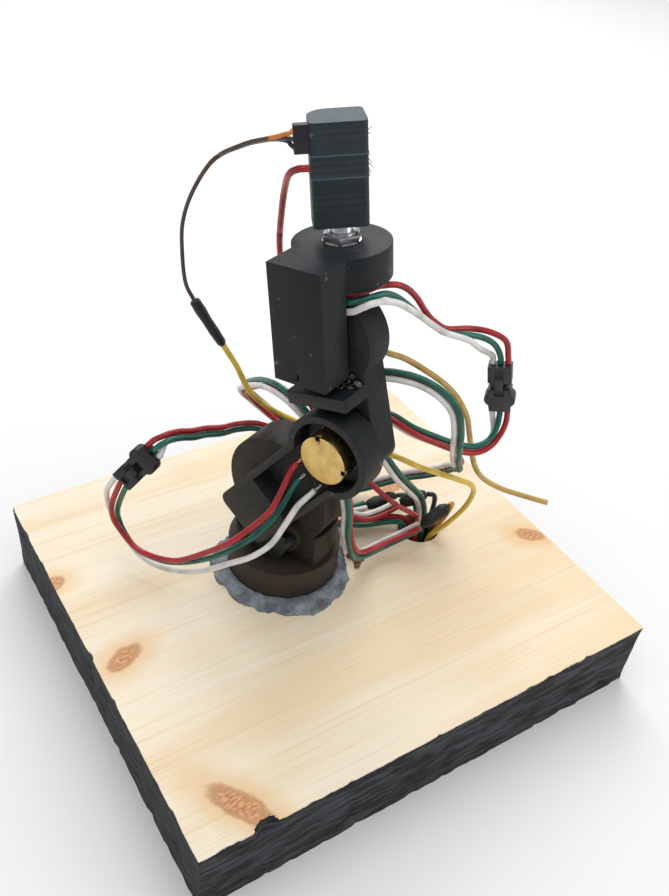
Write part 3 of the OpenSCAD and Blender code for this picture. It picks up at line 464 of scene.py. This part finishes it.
handle_route = [
    (-16.8, -1.7, 190), (-17.8, -0.6, 189.6), (-19.3, 1, 189), (-19.5, 5, 186), (-17, 11, 179),
    (-14, 17, 169), (-10, 24, 155), (-6, 28, 141), (-3, 29, 124), (-1, 27, 106), (3.5, 21, 92),
    (9, 11, 78), (16, -1, 68), (25, -8, 58), (34, -8, 49.5), (40, -5, 42.5), (42, -4.5, 34),
    (42, -4.5, 26), (42, -4.5, 15), (42, -4.5, 4)]
wire("handle_wire", through(handle_route), "red",
     ((grip, 0.05), (wrist, 0.3), (upper, 0.42), (lower, 0.55), (turret, 0.68), (base, 0.85)),
     node="handle_lead")


# Splices: black shrunk sleeves over soldered joints, drawn in at both ends, and the wires that go
# on from them into the hole.

def shrunk_finish():
    f = Finish("shrunk_sleeve", Specular_IOR_Level=0.4)
    wrinkle = f.noise(420, 4)
    return f.send(Base_Color=f.blend(wrinkle, (0.005, 0.005, 0.006), (0.016, 0.016, 0.018)),
                  Roughness=0.34 + wrinkle * 0.2, Normal=f.relief(wrinkle, 0.0004, 0.5))


def sleeve(name, line, profile, body, node, material):
    """A round body along a line: profile lists shares of the line and the radius at each."""
    rings, runs, last = [], [], len(line) - 1
    frames = carried(line)
    for share, reach in profile:
        n = min(int(share * last), last - 1)
        t = share * last - n
        point = line[n].lerp(line[n + 1], t)
        ahead, side = frames[n]
        up = ahead.cross(side)
        rings.append([])
        for k in range(20):
            turn = math.tau * k / 20
            out = math.cos(turn) * side + math.sin(turn) * up
            rough = 1 + 0.10 * noise.noise(900 * (point + 0.002 * out))
            rings[-1].append(point + reach * rough * out)
        runs.append(share)
    piece = tube(name, rings, runs, material)
    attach(piece, body)
    if node:
        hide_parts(node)
    return piece


shrunk = shrunk_finish()
splice_profile = [(0, 0.0012), (0.02, 0.0016), (0.10, 0.0020), (0.2, 0.0025), (0.35, 0.0026),
                  (0.5, 0.0023), (0.65, 0.0025), (0.8, 0.0026), (0.9, 0.0021), (0.98, 0.0015),
                  (1, 0.0011)]
for n, ends in enumerate((((30.3, 14, 36), (43, 12, 38)), ((40.2, 5.6, 40.4), (50, 2, 44)),
                          ((40.3, -9.2, 41.2), (51, -10, 47)))):
    sleeve(f"splice_{n + 1}", through(ends, 12), splice_profile, base,
           None if n else "hole_sleeves", shrunk)
sleeve_route = [(-35, 32, 136), (-33, 31, 132), (-30, 30, 126), (-27, 28, 120)]
sleeve("ribbon_sleeve", through(sleeve_route),
       [(0, 0.0013), (0.03, 0.0017), (0.3, 0.0018), (0.5, 0.0016), (0.75, 0.0017), (0.96, 0.0015),
        (1, 0.0011)], wrist, "signal_sleeve", shrunk)
loom_routes = {
    "green": [(43.3, 12, 38), (47, 10, 38), (49.3, 7.2, 35), (49.2, 4.6, 29.5), (48.5, 3.5, 22),
              (48.5, 3.5, 4)],
    "navy": [(50.3, 2, 44), (53, 0.5, 43), (53, 0, 37), (51.5, 0, 29), (51, 0, 18), (51, 0, 4)],
    "orange": [(51.3, -10, 47), (54, -9, 46), (54, -7, 39), (51.5, -5.5, 31), (50, -5, 22),
               (50, -5, 4)]}
for n, (colour, route) in enumerate(loom_routes.items()):
    wire(f"hole_wire_{colour}", through(route), colour, ((base, 0),),
         node=None if n else "hole_loom")

# Board: a pine offcut, planed on top, its sides sawn and charred, drilled through for the wires.
# Its grain runs along the front edge; knots show on top, and one breaks out at the front.

def finished(name, body, material, node=None, angle=35):
    """Finishes the active object: its place goes into its mesh, and it gets material and body."""
    piece = bpy.context.object
    piece.name = piece.data.name = name
    bpy.ops.object.transform_apply(location=True, rotation=True, scale=True)
    bpy.ops.object.shade_smooth_by_angle(angle=math.radians(angle))
    piece.data.materials.clear()
    piece.data.materials.append(material)
    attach(piece, body)
    if node:
        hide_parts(node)
    return piece


def pick(kind, test):
    """In edit mode, selects the faces, edges or verts that pass a test, and nothing else."""
    bpy.ops.mesh.select_mode(type={"faces": "FACE", "edges": "EDGE", "verts": "VERT"}[kind])
    bpy.ops.mesh.select_all(action="DESELECT")
    mesh = bmesh.from_edit_mesh(bpy.context.object.data)
    for part in getattr(mesh, kind):
        if test(part):
            part.select_set(True)
    mesh.select_flush_mode()
    bmesh.update_edit_mesh(bpy.context.object.data)


def edit(on=True):
    bpy.ops.object.mode_set(mode="EDIT" if on else "OBJECT")


# place on the board, half length and half width in mm, and the turn of each knot in degrees
knots = [(-79.8, -6, 6.5, 3.8, 20), (-71.5, -72.5, 12, 4.0, -58), (-90.7, 36.4, 5, 3.5, 0),
         (84, -25, 5.5, 3.2, -35), (51.5, 25, 6, 3.6, 10)]
front_knot = knots[1]
board_low, board_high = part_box("board")
hole_x, hole_y, hole_r = 0.046, -0.001, 0.0082
board_cuts, side_cuts = 118, 11
notch_half, notch_depth, notch_drop = 0.0055, 0.0042, 0.003


def pine_finish():
    f = Finish("planed_pine", Specular_IOR_Level=0.25)
    spot = f.spot()
    x, y, z = (f.dot(axis, spot) for axis in ((1, 0, 0), (0, 1, 0), (0, 0, 1)))
    wander = f.noise(14, 2)
    line = f.noise(1, 4, f.stretch((7, 420, 60)))
    band = f.noise(1, 2, f.stretch((4, 70, 20), move=(0.4, 0, 0)))
    warm = (band * 0.6 + wander * 0.4).ramp(0.44, 0.66)
    tone = f.blend(warm, (0.90, 0.80, 0.635), (0.86, 0.69, 0.46))
    tone = f.blend(line.ramp(0.50, 0.74) * 0.45, tone, (0.78, 0.60, 0.38))
    fine = f.noise(1, 2, f.stretch((16, 1500, 200)))
    tone = f.blend(fine.ramp(0.58, 0.66) * 0.30, tone, (0.66, 0.44, 0.24))
    warp = f.noise(190, 3) * 0.8 - 0.4
    streak = f.noise(1, 3, f.stretch((500, 1500, 500)))
    for kx, ky, along, across, turn in knots:
        c, s = math.cos(math.radians(turn)), math.sin(math.radians(turn))
        along, across = along / 1000, across / 1000
        u = (x - kx / 1000) * (c / along) + (y - ky / 1000) * (s / along)
        v = (y - ky / 1000) * (c / across) - (x - kx / 1000) * (s / across)
        far = (u * u + v * v) ** 0.5 + warp
        halo = (1 - far.ramp(0.6, 3.2)) * (0.45 + wander * 0.5)
        tone = f.blend(halo, tone, (0.80, 0.50, 0.21))
        mark = 1 - far.ramp(0.45, 1.20)
        rim = (1 - abs(far - 0.85).ramp(0.02, 0.34)) * (0.15 + streak * 0.6)
        brown = f.blend(streak.ramp(0.38, 0.64), (0.44, 0.150, 0.060), (0.74, 0.40, 0.19))
        tone = f.blend(mark * 0.85, tone, brown)
        tone = f.blend(rim, tone, (0.40, 0.150, 0.055))
    rough_edge = f.noise(600, 3) * 0.0012
    side = (rough_edge + (board_high.z - z)).over(0.0012)
    bore = ((x - hole_x) ** 2 + (y - hole_y) ** 2).under((hole_r + 0.0006) ** 2)
    ash = f.noise(1, 5, f.stretch((90, 90, 700)))
    char = f.blend(ash.ramp(0.36, 0.70), (0.010, 0.011, 0.013), (0.062, 0.066, 0.074))
    tone = f.blend(side, tone, char)
    tone = f.blend(side * bore, tone, (0.42, 0.26, 0.13))
    return f.send(Base_Color=tone, Roughness=0.55 + side * 0.25 - line * 0.06,
                  Normal=f.relief(line * 0.4 + ash * side * 2 + streak * 0.1, 0.0005, 0.35))


bpy.ops.object.select_all(action="DESELECT")
bpy.ops.mesh.primitive_cube_add(size=1, location=(board_low + board_high) / 2,
                                scale=board_high - board_low)
bpy.ops.object.transform_apply(location=True, rotation=True, scale=True)
edit()
pick("edges", lambda e: e.calc_length() > 0.1)
bpy.ops.mesh.subdivide(number_cuts=board_cuts)
pick("edges", lambda e: abs(e.verts[0].co.z - e.verts[1].co.z) > 0.02)
bpy.ops.mesh.subdivide(number_cuts=side_cuts)
edit(False)
board = bpy.context.object
bpy.ops.mesh.primitive_cylinder_add(vertices=72, radius=hole_r, depth=0.1,
                                    location=(hole_x, hole_y, board_high.z))
drill = bpy.context.object
bore = board.modifiers.new("bore", "BOOLEAN")
bore.object, bore.operation, bore.solver = drill, "DIFFERENCE", "EXACT"
bpy.context.view_layer.objects.active = board
bpy.ops.object.modifier_apply(modifier="bore")
bpy.data.objects.remove(drill)
for vertex in board.data.vertices:
    p = vertex.co
    depth = (board_high.z - p.z) / (board_high.z - board_low.z)
    for axis in (0, 1):
        if abs(abs(p[axis]) - board_high[axis]) < 1e-5:
            across = Vector((p.x, p.y, 0.5 * p.z))
            chip = max(0, noise.noise(230 * across) - 0.16) * 0.0014
            sawn = 0.5 + 0.5 * noise.fractal(130 * across, 1, 2, 4)
            wear = 0.00015 + (0.00015 + 0.00055 * min(1, 3 * depth)) * sawn + chip
            p[axis] -= math.copysign(wear, p[axis])
    if p.z > board_high.z - 0.004:
        beside = ease(max(0, 1 - abs(p.x - front_knot[0] / 1000 - 0.004) / notch_half))
        near = ease(max(0, 1 - (p.y - board_low.y) / notch_depth))
        p.z -= notch_drop * beside * near
        if near > 0.9:
            p.y += 0.0015 * beside
bpy.ops.object.select_all(action="DESELECT")
board.select_set(True)
finished("pine_board", base, pine_finish(), node="board")


# Putty: blue-grey adhesive, rolled into a bead and pressed round the ring with a thumb, which left
# dents and a torn outer edge.

def putty_finish():
    f = Finish("blue_grey_putty", Specular_IOR_Level=0.3)
    dent, fine = f.noise(150, 3), f.noise(900, 4)
    tone = f.blend(dent.ramp(0.34, 0.66), (0.105, 0.118, 0.132), (0.27, 0.315, 0.355))
    tone = f.blend(fine.ramp(0.56, 0.72) * 0.5, tone, (0.055, 0.060, 0.070))
    return f.send(Base_Color=tone, Roughness=0.48 + fine * 0.25,
                  Normal=f.relief(dent + fine * 0.4, 0.0007, 0.5))


yaw_x, yaw_y, board_top = -0.011, 0.008, board_high.z
ring_r = 0.0205
putty_reach, putty_h, under_ring = 0.005, 0.003, 0.0006
bpy.ops.object.select_all(action="DESELECT")
bpy.ops.mesh.primitive_torus_add(major_segments=260, minor_segments=28, major_radius=2,
                                 minor_radius=1, location=(0, 0, 0))
for vertex in bpy.context.object.data.vertices:
    p = vertex.co
    turn = math.atan2(p.y, p.x)
    across, rise = math.hypot(p.x, p.y) - 2, p.z
    edge = (ring_r + putty_reach + 0.0015 * math.cos(turn + math.radians(128))
            + 0.0011 * math.sin(3 * turn) + 0.0005 * math.sin(7 * turn + math.radians(80)))
    around = Vector((math.cos(turn), math.sin(turn), 0))
    edge += 0.0011 * noise.noise(6 * around) + 0.0006 * noise.noise(19 * around)
    # across runs from -1, under the ring, to 1 at the torn edge
    share = 0.5 + 0.5 * across
    reach = ring_r - under_ring + (edge - ring_r + under_ring) * share
    crown = putty_h * (1.18 - 0.72 * ease(share)) * (1 + 0.22 * noise.noise(4 * around))
    thumb = noise.noise(Vector((7 * around.x, 7 * around.y, 3 * share)))
    crease = noise.noise(Vector((24 * around.x, 24 * around.y, 5 * share)))
    crown += 0.0007 * thumb - 0.0006 * max(0, 0.25 - abs(crease)) * 4 * share
    height = crown * max(0, rise) ** 0.55 if rise > 0 else 0
    vertex.co = Vector((yaw_x, yaw_y, board_top)) + reach * around + Vector((0, 0, height))
edit()
bpy.ops.mesh.select_all(action="SELECT")
bpy.ops.mesh.remove_doubles(threshold=0.00002)
bpy.ops.mesh.normals_make_consistent(inside=False)
edit(False)
finished("putty_bead", base, putty_finish(), node="putty_skirt", angle=60)


# Printed pieces: black filament in fine layers, stacked square to the bed each was printed on. The
# layers show as ribs on every wall that stands on the bed. The flat faces take a paler tone: the
# bed's grain, and on a top that faces the lamps painted light as well.

def printed(name, layers, colour, pale, bed_grain_and_top_light=None, rough=0.44, ribs=0.6, pitch=0.00045, seam_highlights=()):
    """layers is the direction in which the layers stack; the tone for the flat faces is the build
    plate's grain, and painted light on a lit top. At a seam a paler line is painted on as
    highlight."""
    f = Finish(name, Specular_IOR_Level=0.26)
    height = f.dot(layers)
    rib = (height * (math.tau / pitch)).sine() * 0.5 + 0.5
    band = f.noise(1, 4, f.node("ShaderNodeCombineXYZ", X=height * 1100))
    cloud, grit = f.noise(70, 3), f.noise(1900, 2)
    tone = f.blend(band.ramp(0.35, 0.72) * 0.65 + cloud.ramp(0.3, 0.8) * 0.35, colour, pale)
    flat = abs(f.dot(layers, f.node("ShaderNodeTexCoord", output="Normal"))).over(0.94)
    # The flat faces take the given tone: grain of the build plate, and on the lit tops of the grip
    # and the wrist block painted light as well.
    if bed_grain_and_top_light:
        tone = f.blend(flat * (0.35 + grit.ramp(0.42, 0.66) * 0.65), tone, bed_grain_and_top_light)
    # A paler line at each seam is a painted highlight.
    for seam in seam_highlights:
        tone = f.blend(abs(height - seam).under(0.00022) * 0.75, tone, [2.2 * c for c in pale])
    tone = f.blend(f.noise(420, 1).ramp(0.745, 0.77) * 0.5, tone, (0.16, 0.16, 0.16))
    relief = (rib * 0.6 + band * 0.9) * (1 - flat) + grit * (0.35 + flat * 0.7)
    return f.send(Base_Color=tone, Roughness=rough + band * 0.14,
                  Normal=f.relief(relief, 0.00014, ribs))


def softened(node, name, body, material, width, angle=32, segments=2):
    """A copy of a solid with its triangles joined into whole faces and its edges rounded."""
    piece = bpy.data.objects.new(name, nodes[node].data.copy())
    bpy.context.collection.objects.link(piece)
    bpy.ops.object.select_all(action="DESELECT")
    piece.select_set(True)
    bpy.context.view_layer.objects.active = piece
    edit()
    bpy.ops.mesh.select_all(action="SELECT")
    bpy.ops.mesh.remove_doubles(threshold=1e-6)
    bpy.ops.mesh.dissolve_limited(angle_limit=math.radians(0.5))
    edit(False)
    if width:
        bevel = piece.modifiers.new("edge", "BEVEL")
        bevel.width, bevel.segments, bevel.limit_method = width, segments, "ANGLE"
        bevel.angle_limit, bevel.use_clamp_overlap = math.radians(angle), True
        bpy.ops.object.modifier_apply(modifier="edge")
    return finished(name, body, material, node=node)


def joint(name, field):
    return Vector(next(j for j in frame["joints"] if j["name"] == name)[field])


pitch_axis, twist_axis = joint("shoulder", "axis"), joint("handle_twist", "axis")
black, black_pale, bed_grey = (0.0042, 0.0058, 0.0072), (0.015, 0.020, 0.024), (0.036, 0.036, 0.034)
link_print = printed("black_print_link", pitch_axis, black, black_pale, bed_grey)
# The turret's black is tinted warm brown: painted reflection of the light that the pine board
# throws back onto it.
softened("turret", "turret_print", turret,
         printed("black_print_turret", (0, 0, 1), (0.0100, 0.0085, 0.0070),
                 (0.050, 0.042, 0.034)), 0.0002)
softened("shaft_clamp", "clamp_print", turret, link_print, 0.0003)
softened("lower_arm", "lower_arm_print", lower, link_print, 0.00022)
softened("upper_arm", "upper_arm_print", upper, link_print, 0.00022)
# The wrist block's flat faces, its top among them, are painted several times lighter than its
# black: plate grain, and painted light on the lit top.
softened("wrist_block", "wrist_print", wrist,
         printed("black_print_wrist", twist_axis, (0.0045, 0.0070, 0.0090), (0.011, 0.015, 0.019),
                 (0.026, 0.030, 0.036)), 0.00025)
softened("base_ring", "ring_print", base,
         printed("brown_black_print_ring", (0, 0, 1), (0.028, 0.020, 0.015),
                 (0.066, 0.050, 0.039)), 0.0003)


# Handle: a slate-coloured square grip. Two thin ridges run round it where the print was paused, and
# loose strings of filament hang from one corner.

handle_mesh = nodes["handle"].data
grip_top = max(v.co.dot(twist_axis) for v in handle_mesh.vertices)
grip_seams = [grip_top - 0.0086, grip_top - 0.0146]
slate, slate_pale = (0.016, 0.025, 0.030), (0.036, 0.052, 0.060)
# The tone for the flat faces, five times the slate, is plate grain and painted light on the grip's
# lit top; the paler lines at the two seams are painted highlights.
slate_print = printed("slate_print_handle", twist_axis, slate, slate_pale, (0.080, 0.120, 0.142),
                      seam_highlights=grip_seams)
twist_at = joint("handle_twist", "pos_m")
grip_print = softened("handle", "handle_print", grip, slate_print, 0)
bpy.ops.object.select_all(action="DESELECT")
grip_print.select_set(True)
bpy.context.view_layer.objects.active = grip_print
edit()
ridge_half, ridge_out = 0.00016, 0.00018
for seam in grip_seams:
    for off in (-2 * ridge_half, -ridge_half, ridge_half, 2 * ridge_half):
        bpy.ops.mesh.select_all(action="SELECT")
        bpy.ops.mesh.bisect(plane_co=twist_axis * (seam + off), plane_no=twist_axis)
edit(False)
for vertex in grip_print.data.vertices:
    along = vertex.co.dot(twist_axis)
    out = vertex.co - twist_at
    out -= out.dot(twist_axis) * twist_axis
    if out.length > 0.006 and any(abs(along - seam) < 1.2 * ridge_half for seam in grip_seams):
        vertex.co += ridge_out * out.normalized()
edge = grip_print.modifiers.new("edge", "BEVEL")
edge.width, edge.segments, edge.limit_method = 0.0002, 2, "ANGLE"
edge.angle_limit = math.radians(50)
bpy.ops.object.modifier_apply(modifier="edge")
bpy.ops.object.shade_smooth_by_angle(angle=math.radians(30))

# The strings fall the same way each run only with a seed, which is otherwise the time.
noise.seed_set(7)
# The corner of the grip that stands furthest to the right of the arm
view_right = Vector((0.847, -0.53, 0))
corner = max((v.co for v in grip_print.data.vertices), key=lambda p: p.dot(view_right)).copy()
corner -= corner.dot(twist_axis) * twist_axis
for n, (drop, length, lift) in enumerate(((0.0030, 0.00165, 0.9), (0.0036, 0.0012, -0.4),
                                          (0.0088, 0.0012, -0.9), (0.0100, 0.00195, -1.2),
                                          (0.0112, 0.00225, -0.8), (0.0122, 0.0018, -1.4),
                                          (0.0134, 0.0012, -0.7))):
    at = corner + (grip_top - drop) * twist_axis - 0.0003 * view_right
    stray = 0.5 * noise.noise_vector(Vector((n, 0.5, 7)))
    out = (view_right + lift * twist_axis + stray).normalized()
    curl = 0.3 * length * noise.noise_vector(Vector((n, 3.1, 0.2)))
    string = [at, at + 0.35 * length * out, at + 0.7 * length * out + curl, at + length * out]
    frames = carried(string)
    rings = [[p + r * (math.cos(math.tau * k / 6) * side
                       + math.sin(math.tau * k / 6) * ahead.cross(side)) for k in range(6)]
             for p, r, (ahead, side) in zip(string, (0.00013, 0.0001, 0.00008, 0.00005), frames)]
    piece = tube(f"print_string_{n + 1}", rings, (0, 0.3, 0.7, 1), slate_print)
    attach(piece, grip)


# Potentiometers: a brass-coloured pressed can with a rolled rim, a brown wafer with three tinned
# lugs, and a plated bushing, washer and nut. The wires are soldered to the lugs.

def paint(node, material):
    data = nodes[node].data
    data.materials.clear()
    data.materials.append(material)


def metal(name, colour, worn, rough, grain):
    f = Finish(name, Metallic=1.0)
    smear, scratch = f.noise(grain, 4).ramp(0.35, 0.75), f.noise(grain * 7, 2)
    return f.send(Base_Color=f.blend(smear, colour, worn),
                  Roughness=rough + smear * 0.16 + scratch * 0.06,
                  Normal=f.relief(smear * 0.4 + scratch * 0.3, 0.0001, 0.35))


can_metal = metal("pressed_brass_can", (0.70, 0.50, 0.19), (0.52, 0.35, 0.12), 0.24, 200)
plated = metal("plated_zinc", (0.66, 0.67, 0.69), (0.40, 0.41, 0.43), 0.14, 260)
phenolic = Finish("phenolic_wafer", Specular_IOR_Level=0.4)
wafer = phenolic.send(
    Base_Color=phenolic.blend(phenolic.noise(300), (0.060, 0.026, 0.012), (0.12, 0.055, 0.025)),
    Roughness=phenolic.noise(400) * 0.2 + 0.4)
for maker, body, driven in (("yaw", base, turret), ("shoulder", turret, lower),
                            ("elbow", lower, upper), ("wrist", upper, wrist),
                            ("twist", wrist, grip)):
    softened(f"{maker}_pot_can", f"{maker}_can_pressed", body, can_metal, 0.0003, angle=40,
             segments=3)
    softened(f"{maker}_pot_nut", f"{maker}_nut_plated", body, plated, 0.0002, angle=40)
    softened(f"{maker}_pot_shaft", f"{maker}_shaft_plated", driven, plated, 0.0002, angle=40)
    paint(f"{maker}_pot_wafer", wafer)
    paint(f"{maker}_pot_bushing", plated)
softened("clamp_screw", "clamp_screw_plated", turret,
         metal("dark_plated_screw", (0.13, 0.13, 0.14), (0.06, 0.06, 0.065), 0.32, 300), 0.00015)


# Connectors: black nylon halves with a key and a latch, and the header housing that is pushed
# into the grip.

def nylon(name, colour):
    f = Finish(name, Specular_IOR_Level=0.45)
    cloud = f.noise(240, 3)
    return f.send(Base_Color=f.blend(cloud, colour, [2.4 * c for c in colour]),
                  Roughness=cloud * 0.22 + 0.34, Normal=f.relief(f.noise(1400, 2), 0.0001, 0.3))


black_nylon = nylon("black_nylon", (0.0055, 0.0055, 0.006))
grey_nylon = nylon("worn_black_nylon", (0.022, 0.023, 0.025))
for node, name, body, material in (
        ("elbow_plug", "elbow_plug_nylon", turret, black_nylon),
        ("elbow_socket", "elbow_socket_nylon", turret, black_nylon),
        ("twist_plug", "twist_plug_nylon", upper, grey_nylon),
        ("twist_socket", "twist_socket_nylon", upper, grey_nylon),
        ("header_housing", "header_nylon", grip, black_nylon)):
    softened(node, name, body, material, 0.0002)


# Glue: glossy black drops and a clear thread squeezed out between the shelf and the wrist block,
# and brown crumbs that dried beside the ring.

def glue_finish(name, colour, rough):
    f = Finish(name, Specular_IOR_Level=0.6)
    cloud = f.noise(260, 2)
    return f.send(Base_Color=f.blend(cloud, colour, [1.8 * c for c in colour]),
                  Roughness=cloud * 0.2 + rough, Normal=f.relief(cloud, 0.0003, rough + 0.1))


def lump(name, at, size, body, material, seed):
    """A drop: a fine ball pressed flat and pulled out of round."""
    bpy.ops.object.select_all(action="DESELECT")
    bpy.ops.mesh.primitive_ico_sphere_add(subdivisions=4, radius=1, location=(0, 0, 0))
    for vertex in bpy.context.object.data.vertices:
        p = vertex.co
        p *= 1 + 0.30 * noise.noise(1.1 * p + Vector((seed, 0, 0)))
        vertex.co = Vector([c * s for c, s in zip(p, size)])
    bpy.context.object.location = at
    return finished(name, body, material, angle=80)


elbow_at, wrist_at = joint("elbow", "pos_m"), joint("wrist_pitch", "pos_m")
upper_along = (wrist_at - elbow_at).normalized()
upper_across = upper_along.cross(pitch_axis)


def on_upper(out, across, along):
    """A point on the upper arm in mm: out along the pitch axis, across to the right, and up it."""
    return elbow_at + (out * pitch_axis + across * upper_across + along * upper_along) / 1000


black_glue = glue_finish("black_glue", (0.004, 0.005, 0.006), 0.08)
clear_glue = glue_finish("clear_glue_thread", (0.42, 0.45, 0.45), 0.2)
brown_glue = glue_finish("brown_glue_crumb", (0.16, 0.075, 0.035), 0.45)
for n, (out, across, along, size) in enumerate((
        (10.2, 8.6, 21.9, 1.9), (10.6, 5.9, 21.8, 2.2), (10.0, 3.2, 22.0, 1.8),
        (12.2, 7.6, 21.6, 1.4), (12.6, 4.8, 21.5, 1.3), (9.8, 0.4, 21.8, 1.3),
        (9.7, 7.0, 23.8, 1.3))):
    lump(f"glue_drop_{n + 1}", on_upper(out, across, along),
         [size / 1000] * 2 + [0.8 * size / 1000], upper, black_glue, n)
for n, (out, across, along, size) in enumerate(((11.0, -8.6, 21.6, (0.9, 0.9, 0.6)),
                                                (12.4, -7.2, 21.8, (1.2, 1.0, 0.7)),
                                                (11.6, -9.6, 22.4, (0.35, 0.35, 1.9)))):
    lump(f"glue_thread_{n + 1}", on_upper(out, across, along), [s / 1000 for s in size], upper,
         clear_glue, 20 + n)
for n, (x, y, size) in enumerate(((13.4, -1.7, 1.7), (14.8, -3.6, 2.0), (13.8, -5.8, 1.5),
                                  (16.2, -1.4, 1.0), (12.4, -7.6, 1.1), (16.4, -5.4, 0.9))):
    lump(f"glue_crumb_{n + 1}", (x / 1000, y / 1000, board_top + 0.0004 * size),
         (size / 1000, 0.8 * size / 1000, 0.8 * size / 1000), base, brown_glue, 40 + n)


# Floor and lights: a pale sweep, a broad window behind, a soft lamp overhead and a weak fill.

bpy.ops.object.select_all(action="DESELECT")
bpy.ops.mesh.primitive_plane_add(size=6, location=(0, 0, 0))
floor = bpy.context.object
floor.name = "floor"
pale = Finish("pale_floor", Base_Color=(0.86, 0.86, 0.86, 1), Roughness=0.8)
floor.data.materials.append(pale.material)


def lamp(name, at, size, power):
    light = bpy.data.lights.new(name, "AREA")
    light.size, light.energy = size, power
    holder = bpy.data.objects.new(name, light)
    bpy.context.collection.objects.link(holder)
    holder.location = at
    holder.rotation_euler = (Vector((0, 0, 0.1)) - Vector(at)).to_track_quat("-Z", "Y").to_euler()


lamp("window", (0.50, 0.80, 0.95), 0.9, 8.5)
lamp("overhead", (-0.25, -0.10, 1.25), 1.2, 8)
lamp("fill", (0.9, -0.7, 0.5), 0.8, 3)
world = bpy.data.worlds.new("studio")
bpy.context.scene.world = world
world.use_nodes = True
tree = world.node_tree
seen = shader_node(tree, "ShaderNodeLightPath", output="Is Camera Ray")
mirrored = shader_node(tree, "ShaderNodeLightPath", output="Is Glossy Ray")
passed = shader_node(tree, "ShaderNodeLightPath", output="Is Transmission Ray")
level = 0.42 + seen.most(mirrored * 0.15).most(passed) * 0.58
tree.links.new(level.out, tree.nodes["Background"].inputs["Strength"])
tree.nodes["Background"].inputs["Color"].default_value = (1, 1, 1, 1)
bpy.context.scene.view_settings.view_transform = "Standard"
